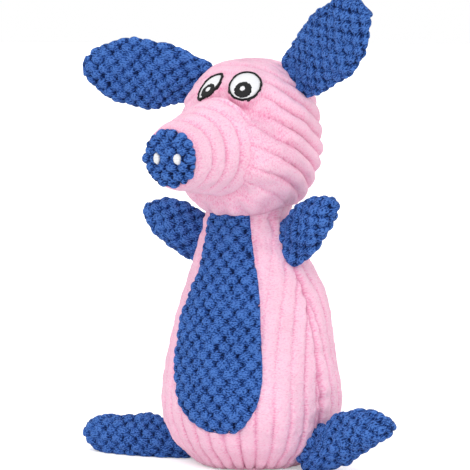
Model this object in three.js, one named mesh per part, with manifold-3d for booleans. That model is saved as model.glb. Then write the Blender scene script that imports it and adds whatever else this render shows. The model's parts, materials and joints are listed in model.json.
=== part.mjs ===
// A stuffed pig with a squeaker in its body, standing on a flat base and facing -Y.
// Millimetres, +Z up. The origin is the middle of the base.
// Every cloth cover is a shell with its filling inside, and the limbs, ears and head turn at their seams.

import * as THREE from "three";
import { mergeVertices } from "three/addons/utils/BufferGeometryUtils.js";
import Module from "manifold-3d";

const { degToRad, lerp, mapLinear, smoothstep } = THREE.MathUtils;

const wasm = await Module();
wasm.setup();

// Cloth and clearances
const clothThickness = 3;
const gap = 0.3;
const cutOverrun = 4;
const mergeTolerance = 1e-5;

// Body: a pear on a flat base, and a round neck that the head turns on
const baseFlatRadius = 29;
const baseSeamRadius = 41;
const baseSeamHeight = 8.5;
const hipRadius = 51.5;
const hipHeight = 20;
const bellyRadius = 57.3;
const bellyHeight = 46;
const ribRadius = 48;
const ribHeight = 98;
const chestRadius = 36.5;
const chestHeight = 130;
const neckRadius = 28;
const neckHeight = 168;
const neckWaistDrop = 13.2;
const neckMouthRadius = 15;
const neckClearance = 0.4;

// Belly panel: half its width at the neck, chest, ribs and belly, and where it ends
const panelTopHeight = 160;
const panelTopHalf = 13;
const panelChestHalf = 18;
const panelRibHalf = 26.5;
const panelBellyHalf = 31.5;
const panelBottomHeight = 24;
const panelWidestShare = 0.4;

// Head
const headHalfWidth = 43;
const headHalfDepth = 43.5;
const headHalfHeight = 51;
const headHeight = 209;
const headForward = 2;
const headSquareness = 2.3;
const muzzleSwell = 17;
const muzzleBlendShare = 0.45;
const muzzleFlat = degToRad(25);
const muzzleUpperSpread = degToRad(50);
const muzzleLowerSpread = degToRad(82);

// Snout: a sleeve that tapers to the nose, drooping a little
const snoutReach = 95;
const snoutStart = 52;
const snoutFrontRadius = 18.5;
const noseRadius = 17;
const snoutBackRadius = 27.6;
const snoutRise = 7.5;
const snoutDroop = degToRad(9);
const snoutRounding = 3;
const snoutLiningShare = 1.1;
const noseThickness = 3.5;
const noseCrown = 3;
const noseBackShare = 0.97;
const nostrilSpacing = 14.5;
const nostrilHalfWidth = 2.7;
const nostrilHalfHeight = 3.7;
const stitchThickness = 1.1;

// Eyes, as seen from the side that each one faces
const eyeFacing = degToRad(30);
const eyeAzimuth = degToRad(23);
const eyeElevation = degToRad(43.5);
const eyeHalfLength = 11.9;
const eyeHalfHeight = 9;
const eyeTilt = degToRad(28);
const eyeEggShare = 0.1;
const eyeLineWidth = 1.8;
const pupilHalfWidth = 5.2;
const pupilHalfHeight = 4.6;
const pupilInward = 1.5;
const pupilDrop = 1.2;
const glintRadius = 1.7;

// Ears, arms and feet. Each is a leaf whose root lies along a seam, with a relief where the cloth
// that it is sewn to bulges past that seam.
const ear = {
  length: 80,
  halfWidth: 22,
  halfThickness: 5,
  rootHalfThickness: 4,
  seamRelief: 0,
  azimuth: degToRad(92),
  elevation: degToRad(44),
  leftSweep: degToRad(63),
  rightSweep: degToRad(75),
  leftLift: degToRad(37),
  rightLift: degToRad(8),
  widthShares: [0.62, 0.85, 0.98, 1, 0.93, 0.77, 0.55, 0.3],
  thicknessShares: [0.8, 0.95, 1, 1, 0.95, 0.85, 0.7, 0.5],
};
const arm = {
  length: 41,
  halfWidth: 16.5,
  halfThickness: 9,
  rootHalfThickness: 5.5,
  seamRelief: 1,
  azimuth: degToRad(76),
  seamHeight: 144,
  seamLean: degToRad(-21),
  leftSweep: degToRad(82),
  rightSweep: degToRad(82),
  leftLift: degToRad(37),
  rightLift: degToRad(23),
  widthShares: [0.88, 0.98, 0.98, 0.9, 0.78, 0.62, 0.45, 0.25],
  thicknessShares: [0.61, 0.86, 1, 1, 0.92, 0.8, 0.62, 0.4],
};
const foot = {
  length: 65,
  halfWidth: 15.5,
  halfThickness: 11,
  rootHalfThickness: 7,
  seamRelief: 1.2,
  azimuth: degToRad(81),
  seamHeight: 14,
  seamLean: degToRad(25),
  leftSweep: degToRad(75),
  rightSweep: degToRad(84),
  leftLift: degToRad(24),
  rightLift: degToRad(2),
  widthShares: [0.86, 1, 1, 0.98, 0.93, 0.82, 0.63, 0.38],
  thicknessShares: [0.64, 0.86, 1, 1, 0.94, 0.82, 0.64, 0.42],
};

// How a leaf's rings are spaced to its tip, where its rows finish turning, and its rounded root
const leafCrowding = 1.6;
const leafTurnShare = 0.45;
const rootRingAngles = [degToRad(12), degToRad(45)];

// Squeaker: a moulded bulb lying across the middle of the body
const squeakerHeight = 92;
const squeakerRadius = 20;
const squeakerWall = 1.2;
const squeakerBackDepth = 7;
const squeakerFoldDepth = 2.2;
const squeakerFolds = 3;
const squeakerFoldPitch = 4;
const squeakerFaceCrown = 3;
const squeakerEdgeShare = 0.92;
const squeakerDomeShare = 0.6;
const whistleRadius = 4.5;
const whistleFlangeRadius = 6.5;
const whistleFlangeThickness = 1.5;
const whistleBoreRadius = 2.6;
const reedThickness = 0.6;
const reedLength = 6;

// How finely round things are drawn
const bodySegments = 28;
const bodySteps = 10;
const headColumns = 26;
const headRows = 16;
const liningColumns = 18;
const liningRows = 10;
const snoutSegments = 22;
const fillingSegments = 16;
const smallSegments = 16;
const leafSides = 12;
const cavitySides = 8;

const up = new THREE.Vector3(0, 0, 1);

// Materials
const pinkPlush = { color: 0xf8c3da, roughness: 0.9, metalness: 0 };
const bluePlush = { color: 0x2f5cab, roughness: 0.9, metalness: 0 };
const whiteThread = { color: 0xf4f4f6, roughness: 0.6, metalness: 0 };
const blackThread = { color: 0x16161a, roughness: 0.6, metalness: 0 };
const fibre = { color: 0xf0efea, roughness: 0.95, metalness: 0 };
const softPlastic = { color: 0xe9ecef, roughness: 0.45, metalness: 0 };

// A closed mesh as a solid that can be joined and cut
function toSolid(geometry) {
  const bare = geometry.clone();
  bare.deleteAttribute("normal");
  bare.deleteAttribute("uv");
  const merged = mergeVertices(bare, mergeTolerance);
  return new wasm.Manifold(
    new wasm.Mesh({
      numProp: 3,
      vertProperties: new Float32Array(merged.attributes.position.array),
      triVerts: Uint32Array.from(merged.index.array),
    }),
  );
}

function toGeometry(solid) {
  const mesh = solid.getMesh();
  const geometry = new THREE.BufferGeometry();
  geometry.setAttribute("position", new THREE.BufferAttribute(mesh.vertProperties, 3));
  geometry.setIndex(new THREE.BufferAttribute(mesh.triVerts, 1));
  geometry.computeVertexNormals();
  return geometry;
}

function subtractAll(solid, cutters) {
  return cutters.reduce((rest, cutter) => rest.subtract(cutter), solid);
}

// A closed outline of (radius, height) turned about Z
function turned(outline, segments) {
  const area = outline.reduce((sum, p, i) => sum + p.cross(outline[(i + 1) % outline.length]), 0);
  const points = area > 0 ? [...outline] : [...outline].reverse();
  points.push(points[0].clone());
  const geometry = new THREE.LatheGeometry(points, segments);
  geometry.rotateX(Math.PI / 2);
  return toSolid(geometry);
}

function ball(radius, centre, columns, rows) {
  const geometry = new THREE.SphereGeometry(radius, columns, rows);
  geometry.rotateX(Math.PI / 2);
  geometry.translate(centre.x, centre.y, centre.z);
  return toSolid(geometry);
}

// Moves a solid made round Z so that its Z axis runs from an origin along a direction
function aimed(solid, origin, direction) {
  const turn = new THREE.Quaternion().setFromUnitVectors(up, direction);
  const place = new THREE.Matrix4().compose(origin, turn, new THREE.Vector3(1, 1, 1));
  return toSolid(toGeometry(solid).applyMatrix4(place));
}

// A flat outline pushed along the third axis of a frame, from start to end
function pushed(points, frame, start, end) {
  const geometry = new THREE.ExtrudeGeometry(new THREE.Shape(points), {
    depth: end - start,
    bevelEnabled: false,
  });
  geometry.translate(0, 0, start);
  geometry.applyMatrix4(frame);
  return toSolid(geometry);
}

function ovalPoints(halfWidth, halfHeight, count, centre, tilt, eggShare) {
  const points = [];
  for (let i = 0; i < count; i += 1) {
    const angle = (2 * Math.PI * i) / count;
    const swell = 1 + eggShare * Math.cos(angle);
    const along = halfWidth * Math.cos(angle) * swell;
    const across = halfHeight * Math.sin(angle) * swell;
    points.push(new THREE.Vector2(along, across).rotateAround(new THREE.Vector2(), tilt).add(centre));
  }
  return points;
}

// The outline's inward side: each point moved square to the line by a distance
function movedIn(points, distance) {
  return points.map((point, i) => {
    const before = points[Math.max(i - 1, 0)];
    const after = points[Math.min(i + 1, points.length - 1)];
    const run = after.clone().sub(before).normalize();
    const moved = point.clone().add(new THREE.Vector2(-run.y, run.x).multiplyScalar(distance));
    moved.x = Math.max(moved.x, 0);
    return moved;
  });
}

// Body

const neckCentre = new THREE.Vector3(0, 0, neckHeight);
const neckWaistRadius = Math.sqrt(neckRadius ** 2 - neckWaistDrop ** 2);
const neckFillingRadius = neckRadius - clothThickness - neckClearance * 2;
const panelWidestHeight = lerp(bellyHeight, ribHeight, panelWidestShare);

function baseOutline() {
  const edge = new THREE.QuadraticBezierCurve(
    new THREE.Vector2(baseFlatRadius, 0),
    new THREE.Vector2((baseFlatRadius + baseSeamRadius) / 2, 0),
    new THREE.Vector2(baseSeamRadius, baseSeamHeight),
  );
  return [new THREE.Vector2(0, 0), new THREE.Vector2(baseFlatRadius / 2, 0), ...edge.getPoints(3)];
}

const sideCurve = new THREE.SplineCurve([
  new THREE.Vector2(baseSeamRadius, baseSeamHeight),
  new THREE.Vector2(hipRadius, hipHeight),
  new THREE.Vector2(bellyRadius, bellyHeight),
  new THREE.Vector2(ribRadius, ribHeight),
  new THREE.Vector2(chestRadius, chestHeight),
  new THREE.Vector2(neckWaistRadius, neckHeight - neckWaistDrop),
]);

function neckOutline() {
  const low = Math.asin(-neckWaistDrop / neckRadius);
  const high = Math.acos(neckMouthRadius / neckRadius);
  const steps = 5;
  const points = [];
  for (let i = 1; i <= steps; i += 1) {
    const angle = low + ((high - low) * i) / steps;
    const radius = neckRadius * Math.cos(angle);
    points.push(new THREE.Vector2(radius, neckHeight + neckRadius * Math.sin(angle)));
  }
  return points;
}

const pearOutline = sideCurve.getPoints(bodySteps);
const sideOutline = [...pearOutline, ...neckOutline()];

function bodyRadiusAt(height) {
  const i = sideOutline.findIndex((point) => point.y > height);
  const under = sideOutline[i - 1];
  const over = sideOutline[i];
  return mapLinear(height, under.y, over.y, under.x, over.x);
}

function bodyShell() {
  const outer = sideOutline.map((point) => point.clone());
  const seam = outer[1].clone().sub(outer[0]).normalize().multiplyScalar(gap);
  outer[0].add(seam);
  return turned([...outer, ...movedIn(outer, clothThickness).reverse()], bodySegments);
}

function basePanel() {
  const outer = baseOutline();
  return turned([...outer, ...movedIn(outer, clothThickness).reverse()], bodySegments);
}

// The tongue on the front of the body, seen from the front and pushed through the cloth
function panelCutter(grow) {
  const sidePoints = [
    new THREE.Vector2(panelTopHalf + grow, panelTopHeight + grow),
    new THREE.Vector2(panelChestHalf + grow, chestHeight),
    new THREE.Vector2(panelRibHalf + grow, ribHeight),
    new THREE.Vector2(panelBellyHalf + grow, panelWidestHeight),
  ];
  const lower = new THREE.EllipseCurve(
    0,
    panelWidestHeight,
    panelBellyHalf + grow,
    panelWidestHeight - panelBottomHeight + grow,
    0,
    -Math.PI / 2,
    true,
  );
  const side = [...new THREE.SplineCurve(sidePoints).getPoints(6), ...lower.getPoints(7).slice(1)];
  const mirrored = side.slice(0, -1).map((point) => new THREE.Vector2(-point.x, point.y));
  const frame = new THREE.Matrix4().makeBasis(
    new THREE.Vector3(1, 0, 0),
    new THREE.Vector3(0, 0, 1),
    new THREE.Vector3(0, -1, 0),
  );
  return pushed([...side.reverse(), ...mirrored], frame, 0, bellyRadius + cutOverrun);
}

// The two wads of filling in the body, with a pocket between them for the squeaker
function bodyFilling() {
  const outline = [...baseOutline(), ...pearOutline.slice(1)];
  const inner = movedIn(outline, clothThickness + gap);
  inner.push(new THREE.Vector2(0, inner[inner.length - 1].y));
  const pocketRadius = squeakerRadius + gap;
  const pocketDepth = squeakerBackDepth + squeakerFolds * squeakerFoldPitch + squeakerFaceCrown + gap * 4;
  const pocket = new THREE.CylinderGeometry(pocketRadius, pocketRadius, pocketDepth, smallSegments);
  pocket.translate(0, squeakerBackDepth + gap - pocketDepth / 2, squeakerHeight);
  return subtractAll(turned(inner, bodySegments / 2), [
    ball(neckFillingRadius + neckClearance * 2, neckCentre, headColumns, headRows),
    toSolid(pocket),
  ]);
}

function halfOf(solid, sign) {
  const size = 2 * (bellyRadius + neckHeight);
  const block = new THREE.BoxGeometry(size, size, size);
  block.translate(0, (sign * (size + gap)) / 2, 0);
  return solid.intersect(toSolid(block));
}

// Head

const headCentre = new THREE.Vector3(0, -headForward, headHeight);
const snoutDirection = new THREE.Vector3(0, -Math.cos(snoutDroop), -Math.sin(snoutDroop));
const snoutRoot = new THREE.Vector3(0, -headForward, headHeight + snoutRise);
const muzzleDirection = snoutRoot
  .clone()
  .addScaledVector(snoutDirection, snoutStart)
  .sub(headCentre)
  .normalize();

// How far the head's surface is from its centre in a direction: a squarish round, swelling to the snout
function headRadius(direction) {
  const share = (value, half) => (Math.abs(value) / half) ** headSquareness;
  const sum =
    share(direction.x, headHalfWidth) +
    share(direction.y, headHalfDepth) +
    share(direction.z, headHalfHeight);
  const plain = sum ** (-1 / headSquareness);
  const upperShare = smoothstep(direction.z, -muzzleBlendShare, muzzleBlendShare);
  const spread = lerp(muzzleLowerSpread, muzzleUpperSpread, upperShare);
  const offMuzzle = direction.angleTo(muzzleDirection);
  return plain + muzzleSwell * (1 - smoothstep(offMuzzle, muzzleFlat, spread));
}

function headPoint(azimuth, elevation) {
  const direction = new THREE.Vector3(
    Math.sin(azimuth) * Math.cos(elevation),
    -Math.cos(azimuth) * Math.cos(elevation),
    Math.sin(elevation),
  );
  return direction.multiplyScalar(headRadius(direction)).add(headCentre);
}

// The way that the head's surface faces at a place
function headNormal(azimuth, elevation) {
  const step = 0.02;
  const across = headPoint(azimuth + step, elevation).sub(headPoint(azimuth - step, elevation));
  const upward = headPoint(azimuth, elevation + step).sub(headPoint(azimuth, elevation - step));
  return across.cross(upward).normalize();
}

// The head's form, made larger or smaller all over
function headForm(grow, columns, rows) {
  const sphere = new THREE.SphereGeometry(1, columns, rows);
  sphere.rotateX(Math.PI / 2);
  const place = sphere.attributes.position;
  const direction = new THREE.Vector3();
  for (let i = 0; i < place.count; i += 1) {
    direction.fromBufferAttribute(place, i).normalize();
    direction.multiplyScalar(headRadius(direction) + grow).add(headCentre);
    place.setXYZ(i, direction.x, direction.y, direction.z);
  }
  return toSolid(sphere);
}

function neckCutter() {
  return ball(neckRadius + neckClearance, neckCentre, headColumns, headRows);
}

function headCover() {
  return subtractAll(headForm(0, headColumns, headRows), [
    headForm(-clothThickness, liningColumns, liningRows),
    neckCutter(),
    snoutCore(gap),
  ]);
}

function headFilling() {
  return headForm(-clothThickness - gap, liningColumns, liningRows).subtract(neckCutter());
}

// Snout

const snoutTaper = (snoutBackRadius - snoutFrontRadius) / (snoutReach - snoutStart);

function snoutRadius(along) {
  return snoutFrontRadius + snoutTaper * (snoutReach - along);
}

function snoutSleeve() {
  const middle = (snoutStart + snoutReach) / 2;
  const outline = [
    new THREE.Vector2(snoutRadius(snoutStart), snoutStart),
    new THREE.Vector2(snoutRadius(middle), middle),
    new THREE.Vector2(snoutRadius(snoutReach - snoutRounding), snoutReach - snoutRounding),
    new THREE.Vector2(snoutFrontRadius - snoutRounding / 2, snoutReach),
  ];
  const inner = movedIn(outline, clothThickness);
  inner[outline.length - 1].y = snoutReach;
  const sleeve = turned([...outline, ...inner.reverse()], snoutSegments);
  return aimed(sleeve, snoutRoot, snoutDirection).subtract(headForm(gap, headColumns, headRows));
}

// What lies inside the snout, larger or smaller all over, from inside the head to the nose
function snoutCore(grow) {
  const back = headHalfDepth / 2;
  const front = snoutReach - gap;
  const reach = (along) => snoutRadius(along) - clothThickness * snoutLiningShare - gap + grow;
  const outline = [
    new THREE.Vector2(0, back),
    new THREE.Vector2(reach(back), back),
    new THREE.Vector2(reach(snoutReach - snoutRounding), snoutReach - snoutRounding),
    new THREE.Vector2(reach(snoutReach) - snoutRounding / 2, front),
    new THREE.Vector2(0, front),
  ];
  return aimed(turned(outline, snoutSegments), snoutRoot, snoutDirection);
}

function snoutFilling() {
  return snoutCore(-gap).subtract(headForm(-clothThickness, liningColumns, liningRows));
}

// A crowned disc from one thickness to another, with its back flat on the snout's end
function noseCap(bottom, top) {
  const radius = noseRadius;
  const steps = 4;
  const outline = [new THREE.Vector2(0, snoutReach + bottom)];
  for (let i = 0; i <= steps; i += 1) {
    const share = 1 - i / steps;
    const crown = (top - bottom > noseThickness / 2 ? noseCrown : 0) * (1 - share ** 2);
    outline.push(new THREE.Vector2(radius * share, snoutReach + top + crown));
  }
  outline.splice(1, 0, new THREE.Vector2(radius * noseBackShare, snoutReach + bottom));
  return aimed(turned(outline, snoutSegments), snoutRoot, snoutDirection);
}

function noseDisc() {
  return noseCap(gap, gap + noseThickness);
}

// A pad of thread on the nose, following its crown
function nostril(side) {
  const top = gap + noseThickness;
  const layer = noseCap(gap, top + gap + stitchThickness).subtract(noseCap(gap / 2, top + gap));
  const across = new THREE.Vector3(1, 0, 0);
  const frame = new THREE.Matrix4()
    .makeBasis(across, snoutDirection.clone().cross(across), snoutDirection)
    .setPosition(snoutRoot);
  const centre = new THREE.Vector2((side * nostrilSpacing) / 2, 0);
  const points = ovalPoints(nostrilHalfWidth, nostrilHalfHeight, smallSegments, centre, 0, 0);
  return layer.intersect(pushed(points, frame, snoutReach, snoutReach + noseThickness * 4));
}

// Eyes

const threadLayer = headForm(gap + stitchThickness, headColumns, headRows).subtract(
  headForm(gap, headColumns, headRows),
);

// One stitched patch of an eye: an outline pushed into the head, less the patch inside it
function eyePatch(side, outer, inner) {
  const facing = side * eyeFacing;
  const outward = new THREE.Vector3(Math.sin(facing), -Math.cos(facing), 0);
  const frame = new THREE.Matrix4()
    .makeBasis(new THREE.Vector3(Math.cos(facing), Math.sin(facing), 0), up, outward)
    .setPosition(headPoint(side * eyeAzimuth, eyeElevation));
  const mirrored = (points) =>
    side > 0 ? points : points.map((point) => new THREE.Vector2(-point.x, point.y)).reverse();
  const depth = eyeHalfLength * 2;
  const patch = threadLayer.intersect(pushed(mirrored(outer), frame, -depth, depth));
  if (!inner) {
    return patch;
  }
  return patch.subtract(pushed(mirrored(inner), frame, -depth - cutOverrun, depth + cutOverrun));
}

function eyeOval(shrink) {
  const centre = new THREE.Vector2();
  const count = smallSegments + 4;
  return ovalPoints(eyeHalfLength - shrink, eyeHalfHeight - shrink, count, centre, eyeTilt, eyeEggShare);
}

const pupilCentre = new THREE.Vector2(-pupilInward, -pupilDrop);

function pupilOval(grow) {
  return ovalPoints(pupilHalfWidth + grow, pupilHalfHeight + grow, smallSegments, pupilCentre, 0, 0);
}

function glintOval(grow) {
  return ovalPoints(glintRadius + grow, glintRadius + grow, smallSegments / 2, pupilCentre, 0, 0);
}

// Leaves: ears, arms and feet

// Where a leaf's root seam lies, which way the seam runs, and which way the leaf points
function leafFrame(size, side, seat) {
  const lift = side > 0 ? size.leftLift : size.rightLift;
  const sweep = side > 0 ? size.leftSweep : size.rightSweep;
  const reach = new THREE.Vector3(
    side * Math.sin(sweep) * Math.cos(lift),
    -Math.cos(sweep) * Math.cos(lift),
    Math.sin(lift),
  );
  const face = seat.along.clone().cross(reach).normalize();
  const outward = face.clone().cross(seat.along).normalize();
  const stand = size.rootHalfThickness + gap + size.seamRelief;
  const origin = seat.point.clone().addScaledVector(seat.normal, stand);
  const across = face.clone().cross(reach).normalize();
  return { origin, along: seat.along, face, outward, reach, across: across.negate() };
}

// A leaf smaller than its full size by an inset all over. Its root is rounded about the seam,
// or where it is open runs out past it.
function leaf(size, frame, inset, open, sides) {
  const rings = [];
  const rootThickness = size.rootHalfThickness - inset;
  const rootWidth = size.halfWidth * size.widthShares[0] - inset;
  if (open) {
    const back = size.rootHalfThickness + cutOverrun;
    rings.push({ back, half: rootWidth, thick: rootThickness, turn: 0 });
  } else {
    rootRingAngles.forEach((angle) => {
      const back = rootThickness * Math.cos(angle);
      rings.push({ back, half: rootWidth, thick: rootThickness * Math.sin(angle), turn: 0 });
    });
  }
  const length = size.length - inset;
  size.widthShares.forEach((widthShare, i) => {
    const share = 1 - (1 - i / size.widthShares.length) ** leafCrowding;
    rings.push({
      forward: length * share,
      half: size.halfWidth * widthShare - inset,
      thick: (size.halfThickness - inset) * size.thicknessShares[i],
      turn: smoothstep(share, 0, leafTurnShare),
    });
  });
  return ringed(rings, frame, length, sides);
}

// Joins rings of points into one closed skin, from a flat root to a point at the tip
function ringed(rings, frame, length, sides) {
  const places = [];
  const put = (vector) => places.push(vector.x, vector.y, vector.z);
  rings.forEach((ring) => {
    const centre = frame.origin.clone();
    if (ring.back) {
      centre.addScaledVector(frame.outward, -ring.back);
    } else {
      centre.addScaledVector(frame.reach, ring.forward);
    }
    const row = frame.along.clone().lerp(frame.across, ring.turn).normalize();
    for (let i = 0; i < sides; i += 1) {
      const angle = (2 * Math.PI * i) / sides;
      const point = centre.clone().addScaledVector(row, ring.half * Math.cos(angle));
      put(point.addScaledVector(frame.face, ring.thick * Math.sin(angle)));
    }
  });
  put(frame.origin.clone().addScaledVector(frame.outward, -rings[0].back));
  put(frame.origin.clone().addScaledVector(frame.reach, length));
  const first = rings.length * sides;
  const last = first + 1;
  const index = [];
  for (let i = 0; i < sides; i += 1) {
    const next = (i + 1) % sides;
    index.push(first, i, next);
    const end = (rings.length - 1) * sides;
    index.push(last, end + next, end + i);
    for (let k = 0; k < rings.length - 1; k += 1) {
      const a = k * sides + i;
      const b = k * sides + next;
      index.push(a, a + sides, b, b, a + sides, b + sides);
    }
  }
  const geometry = new THREE.BufferGeometry();
  geometry.setAttribute("position", new THREE.Float32BufferAttribute(places, 3));
  geometry.setIndex(index);
  return toSolid(geometry);
}

// What lies below a height, so that a leaf on the ground is cut flat there
function below(height) {
  const size = 2 * (bellyRadius + foot.length + cutOverrun);
  const block = new THREE.BoxGeometry(size, size, cutOverrun * 2);
  block.translate(0, 0, height - cutOverrun);
  return toSolid(block);
}

function pouch(size, frame) {
  const cavity = leaf(size, frame, clothThickness, true, cavitySides);
  const raisedCavity = cavity.subtract(below(gap + clothThickness));
  return subtractAll(leaf(size, frame, 0, false, leafSides), [raisedCavity, below(gap)]);
}

function pouchFilling(size, frame) {
  const filling = leaf(size, frame, clothThickness + gap, false, cavitySides);
  return filling.subtract(below(gap + clothThickness + gap));
}

// A seat on the body's side: the point, the way out of the cloth, and the way up along the seam
function bodySeat(size, side) {
  const radial = new THREE.Vector3(side * Math.sin(size.azimuth), -Math.cos(size.azimuth), 0);
  return {
    point: radial.clone().multiplyScalar(bodyRadiusAt(size.seamHeight)).setZ(size.seamHeight),
    normal: radial.clone().multiplyScalar(Math.cos(size.seamLean)).setZ(-Math.sin(size.seamLean)),
    along: radial.clone().multiplyScalar(Math.sin(size.seamLean)).setZ(Math.cos(size.seamLean)),
  };
}

function headSeat(size, side) {
  const normal = headNormal(side * size.azimuth, size.elevation);
  const along = new THREE.Vector3(0, side, 0).cross(normal).normalize();
  return { point: headPoint(side * size.azimuth, size.elevation), normal, along: along.negate() };
}

// Squeaker, made round Z with its face up and then laid to face the front

function squeakerPlaced(solid) {
  return aimed(solid, new THREE.Vector3(0, 0, squeakerHeight), new THREE.Vector3(0, -1, 0));
}

function squeakerBack() {
  const rim = squeakerRadius;
  const bore = whistleRadius + gap;
  const outline = [
    new THREE.Vector2(bore, -squeakerBackDepth),
    new THREE.Vector2(rim - squeakerWall * 2, -squeakerBackDepth),
    new THREE.Vector2(rim, -squeakerBackDepth + squeakerWall * 2),
    new THREE.Vector2(rim, 0),
    new THREE.Vector2(rim - squeakerWall, 0),
    new THREE.Vector2(rim - squeakerWall, -squeakerBackDepth + squeakerWall * 3),
    new THREE.Vector2(rim - squeakerWall * 3, -squeakerBackDepth + squeakerWall),
    new THREE.Vector2(bore, -squeakerBackDepth + squeakerWall),
  ];
  return squeakerPlaced(turned(outline, smallSegments));
}

function squeakerFoldingWall() {
  const outer = [];
  for (let i = 0; i <= squeakerFolds * 2; i += 1) {
    const radius = squeakerRadius - (i % 2 ? 0 : squeakerFoldDepth) - gap;
    outer.push(new THREE.Vector2(radius, gap + (squeakerFoldPitch * i) / 2));
  }
  const inner = outer.map((point) => new THREE.Vector2(point.x - squeakerWall, point.y));
  return squeakerPlaced(turned([...outer, ...inner.reverse()], smallSegments));
}

function squeakerFace() {
  const bottom = gap * 2 + squeakerFolds * squeakerFoldPitch;
  const radius = squeakerRadius - squeakerFoldDepth;
  const outline = [
    new THREE.Vector2(0, bottom),
    new THREE.Vector2(radius, bottom),
    new THREE.Vector2(radius * squeakerEdgeShare, bottom + squeakerWall),
    new THREE.Vector2(radius * squeakerDomeShare, bottom + (squeakerWall + squeakerFaceCrown) / 2),
    new THREE.Vector2(0, bottom + squeakerFaceCrown),
  ];
  return squeakerPlaced(turned(outline, smallSegments));
}

function whistlePlug() {
  const back = -squeakerBackDepth;
  const flangeBottom = back + squeakerWall + gap;
  const flangeTop = flangeBottom + whistleFlangeThickness;
  const outline = [
    new THREE.Vector2(whistleBoreRadius, flangeTop),
    new THREE.Vector2(whistleFlangeRadius, flangeTop),
    new THREE.Vector2(whistleFlangeRadius, flangeBottom),
    new THREE.Vector2(whistleRadius, flangeBottom),
    new THREE.Vector2(whistleRadius, back),
    new THREE.Vector2(whistleBoreRadius, back),
  ];
  return squeakerPlaced(turned(outline, smallSegments));
}

function whistleReed() {
  const width = 2 * Math.sqrt((whistleBoreRadius - gap) ** 2 - (reedThickness / 2) ** 2);
  const reed = new THREE.BoxGeometry(width, reedThickness, reedLength);
  reed.translate(0, 0, -squeakerBackDepth + reedLength / 2 + gap);
  return squeakerPlaced(toSolid(reed));
}

// Assembly

const pig = new THREE.Group();

function place(name, solid, finish) {
  const mesh = new THREE.Mesh(toGeometry(solid), new THREE.MeshStandardMaterial(finish));
  mesh.name = name;
  pig.add(mesh);
}

function placeBody() {
  const shell = bodyShell();
  const filling = bodyFilling();
  place("body_cover", shell.subtract(panelCutter(gap)), pinkPlush);
  place("belly_panel", shell.intersect(panelCutter(0)), bluePlush);
  place("base_panel", basePanel(), pinkPlush);
  place("body_filling_front", halfOf(filling, -1), fibre);
  place("body_filling_back", halfOf(filling, 1), fibre);
  place("neck_filling", ball(neckFillingRadius, neckCentre, fillingSegments, fillingSegments / 2), fibre);
}

function placeSqueaker() {
  place("squeaker_back", squeakerBack(), softPlastic);
  place("squeaker_folding_wall", squeakerFoldingWall(), softPlastic);
  place("squeaker_face", squeakerFace(), softPlastic);
  place("whistle_plug", whistlePlug(), softPlastic);
  place("whistle_reed", whistleReed(), softPlastic);
}

function placeHead() {
  place("head_cover", headCover(), pinkPlush);
  place("head_filling", headFilling(), fibre);
  place("snout_cover", snoutSleeve(), pinkPlush);
  place("snout_filling", snoutFilling(), fibre);
  place("nose_disc", noseDisc(), bluePlush);
}

function placeFace(side, name) {
  place(`nostril_${name}`, nostril(side), whiteThread);
  place(`eye_outline_${name}`, eyePatch(side, eyeOval(0), eyeOval(eyeLineWidth)), blackThread);
  place(`eye_white_${name}`, eyePatch(side, eyeOval(eyeLineWidth + gap), pupilOval(gap)), whiteThread);
  place(`eye_pupil_${name}`, eyePatch(side, pupilOval(0), glintOval(gap)), blackThread);
  place(`eye_glint_${name}`, eyePatch(side, glintOval(0), null), whiteThread);
}

function placeLimbs(side, name) {
  const earFrame = leafFrame(ear, side, headSeat(ear, side));
  place(`ear_${name}`, leaf(ear, earFrame, 0, false, leafSides), bluePlush);
  [["arm", arm], ["foot", foot]].forEach(([limb, size]) => {
    const frame = leafFrame(size, side, bodySeat(size, side));
    place(`${limb}_${name}_cover`, pouch(size, frame), bluePlush);
    place(`${limb}_${name}_filling`, pouchFilling(size, frame), fibre);
  });
}

placeBody();
placeSqueaker();
placeHead();
// The pig's own left is +X
placeFace(1, "left");
placeFace(-1, "right");
placeLimbs(1, "left");
placeLimbs(-1, "right");

export default pig;
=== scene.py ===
import json
import math

import bpy
import numpy as np
from bpy.props import FloatProperty, FloatVectorProperty, PointerProperty
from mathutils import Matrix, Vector


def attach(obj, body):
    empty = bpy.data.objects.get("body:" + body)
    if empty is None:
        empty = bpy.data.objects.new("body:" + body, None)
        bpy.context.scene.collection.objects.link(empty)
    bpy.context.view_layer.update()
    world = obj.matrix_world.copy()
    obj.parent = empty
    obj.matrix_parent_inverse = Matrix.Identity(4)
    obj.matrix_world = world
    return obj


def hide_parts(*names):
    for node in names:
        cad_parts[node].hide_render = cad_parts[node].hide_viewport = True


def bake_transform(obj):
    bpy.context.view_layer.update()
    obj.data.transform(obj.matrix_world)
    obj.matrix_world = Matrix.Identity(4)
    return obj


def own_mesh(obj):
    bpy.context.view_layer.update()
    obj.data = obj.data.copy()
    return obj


bl_info = {
    "name": "Stuffed pig dog toy",
    "version": (1, 0, 0),
    "blender": (4, 5, 0),
    "location": "3D View > Sidebar > Pig",
    "description": "Dresses the packed model of a squeaky plush pig in its cloth, thread and filling",
    "category": "Object",
}

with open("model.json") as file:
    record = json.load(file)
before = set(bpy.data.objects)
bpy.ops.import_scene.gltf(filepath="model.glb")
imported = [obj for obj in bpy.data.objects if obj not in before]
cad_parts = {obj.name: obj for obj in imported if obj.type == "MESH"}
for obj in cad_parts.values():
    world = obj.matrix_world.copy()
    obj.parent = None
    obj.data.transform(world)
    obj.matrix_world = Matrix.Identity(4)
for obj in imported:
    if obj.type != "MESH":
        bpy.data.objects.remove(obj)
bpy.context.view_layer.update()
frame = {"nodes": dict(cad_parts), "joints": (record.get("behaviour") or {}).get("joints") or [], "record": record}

MM = 0.001

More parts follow.
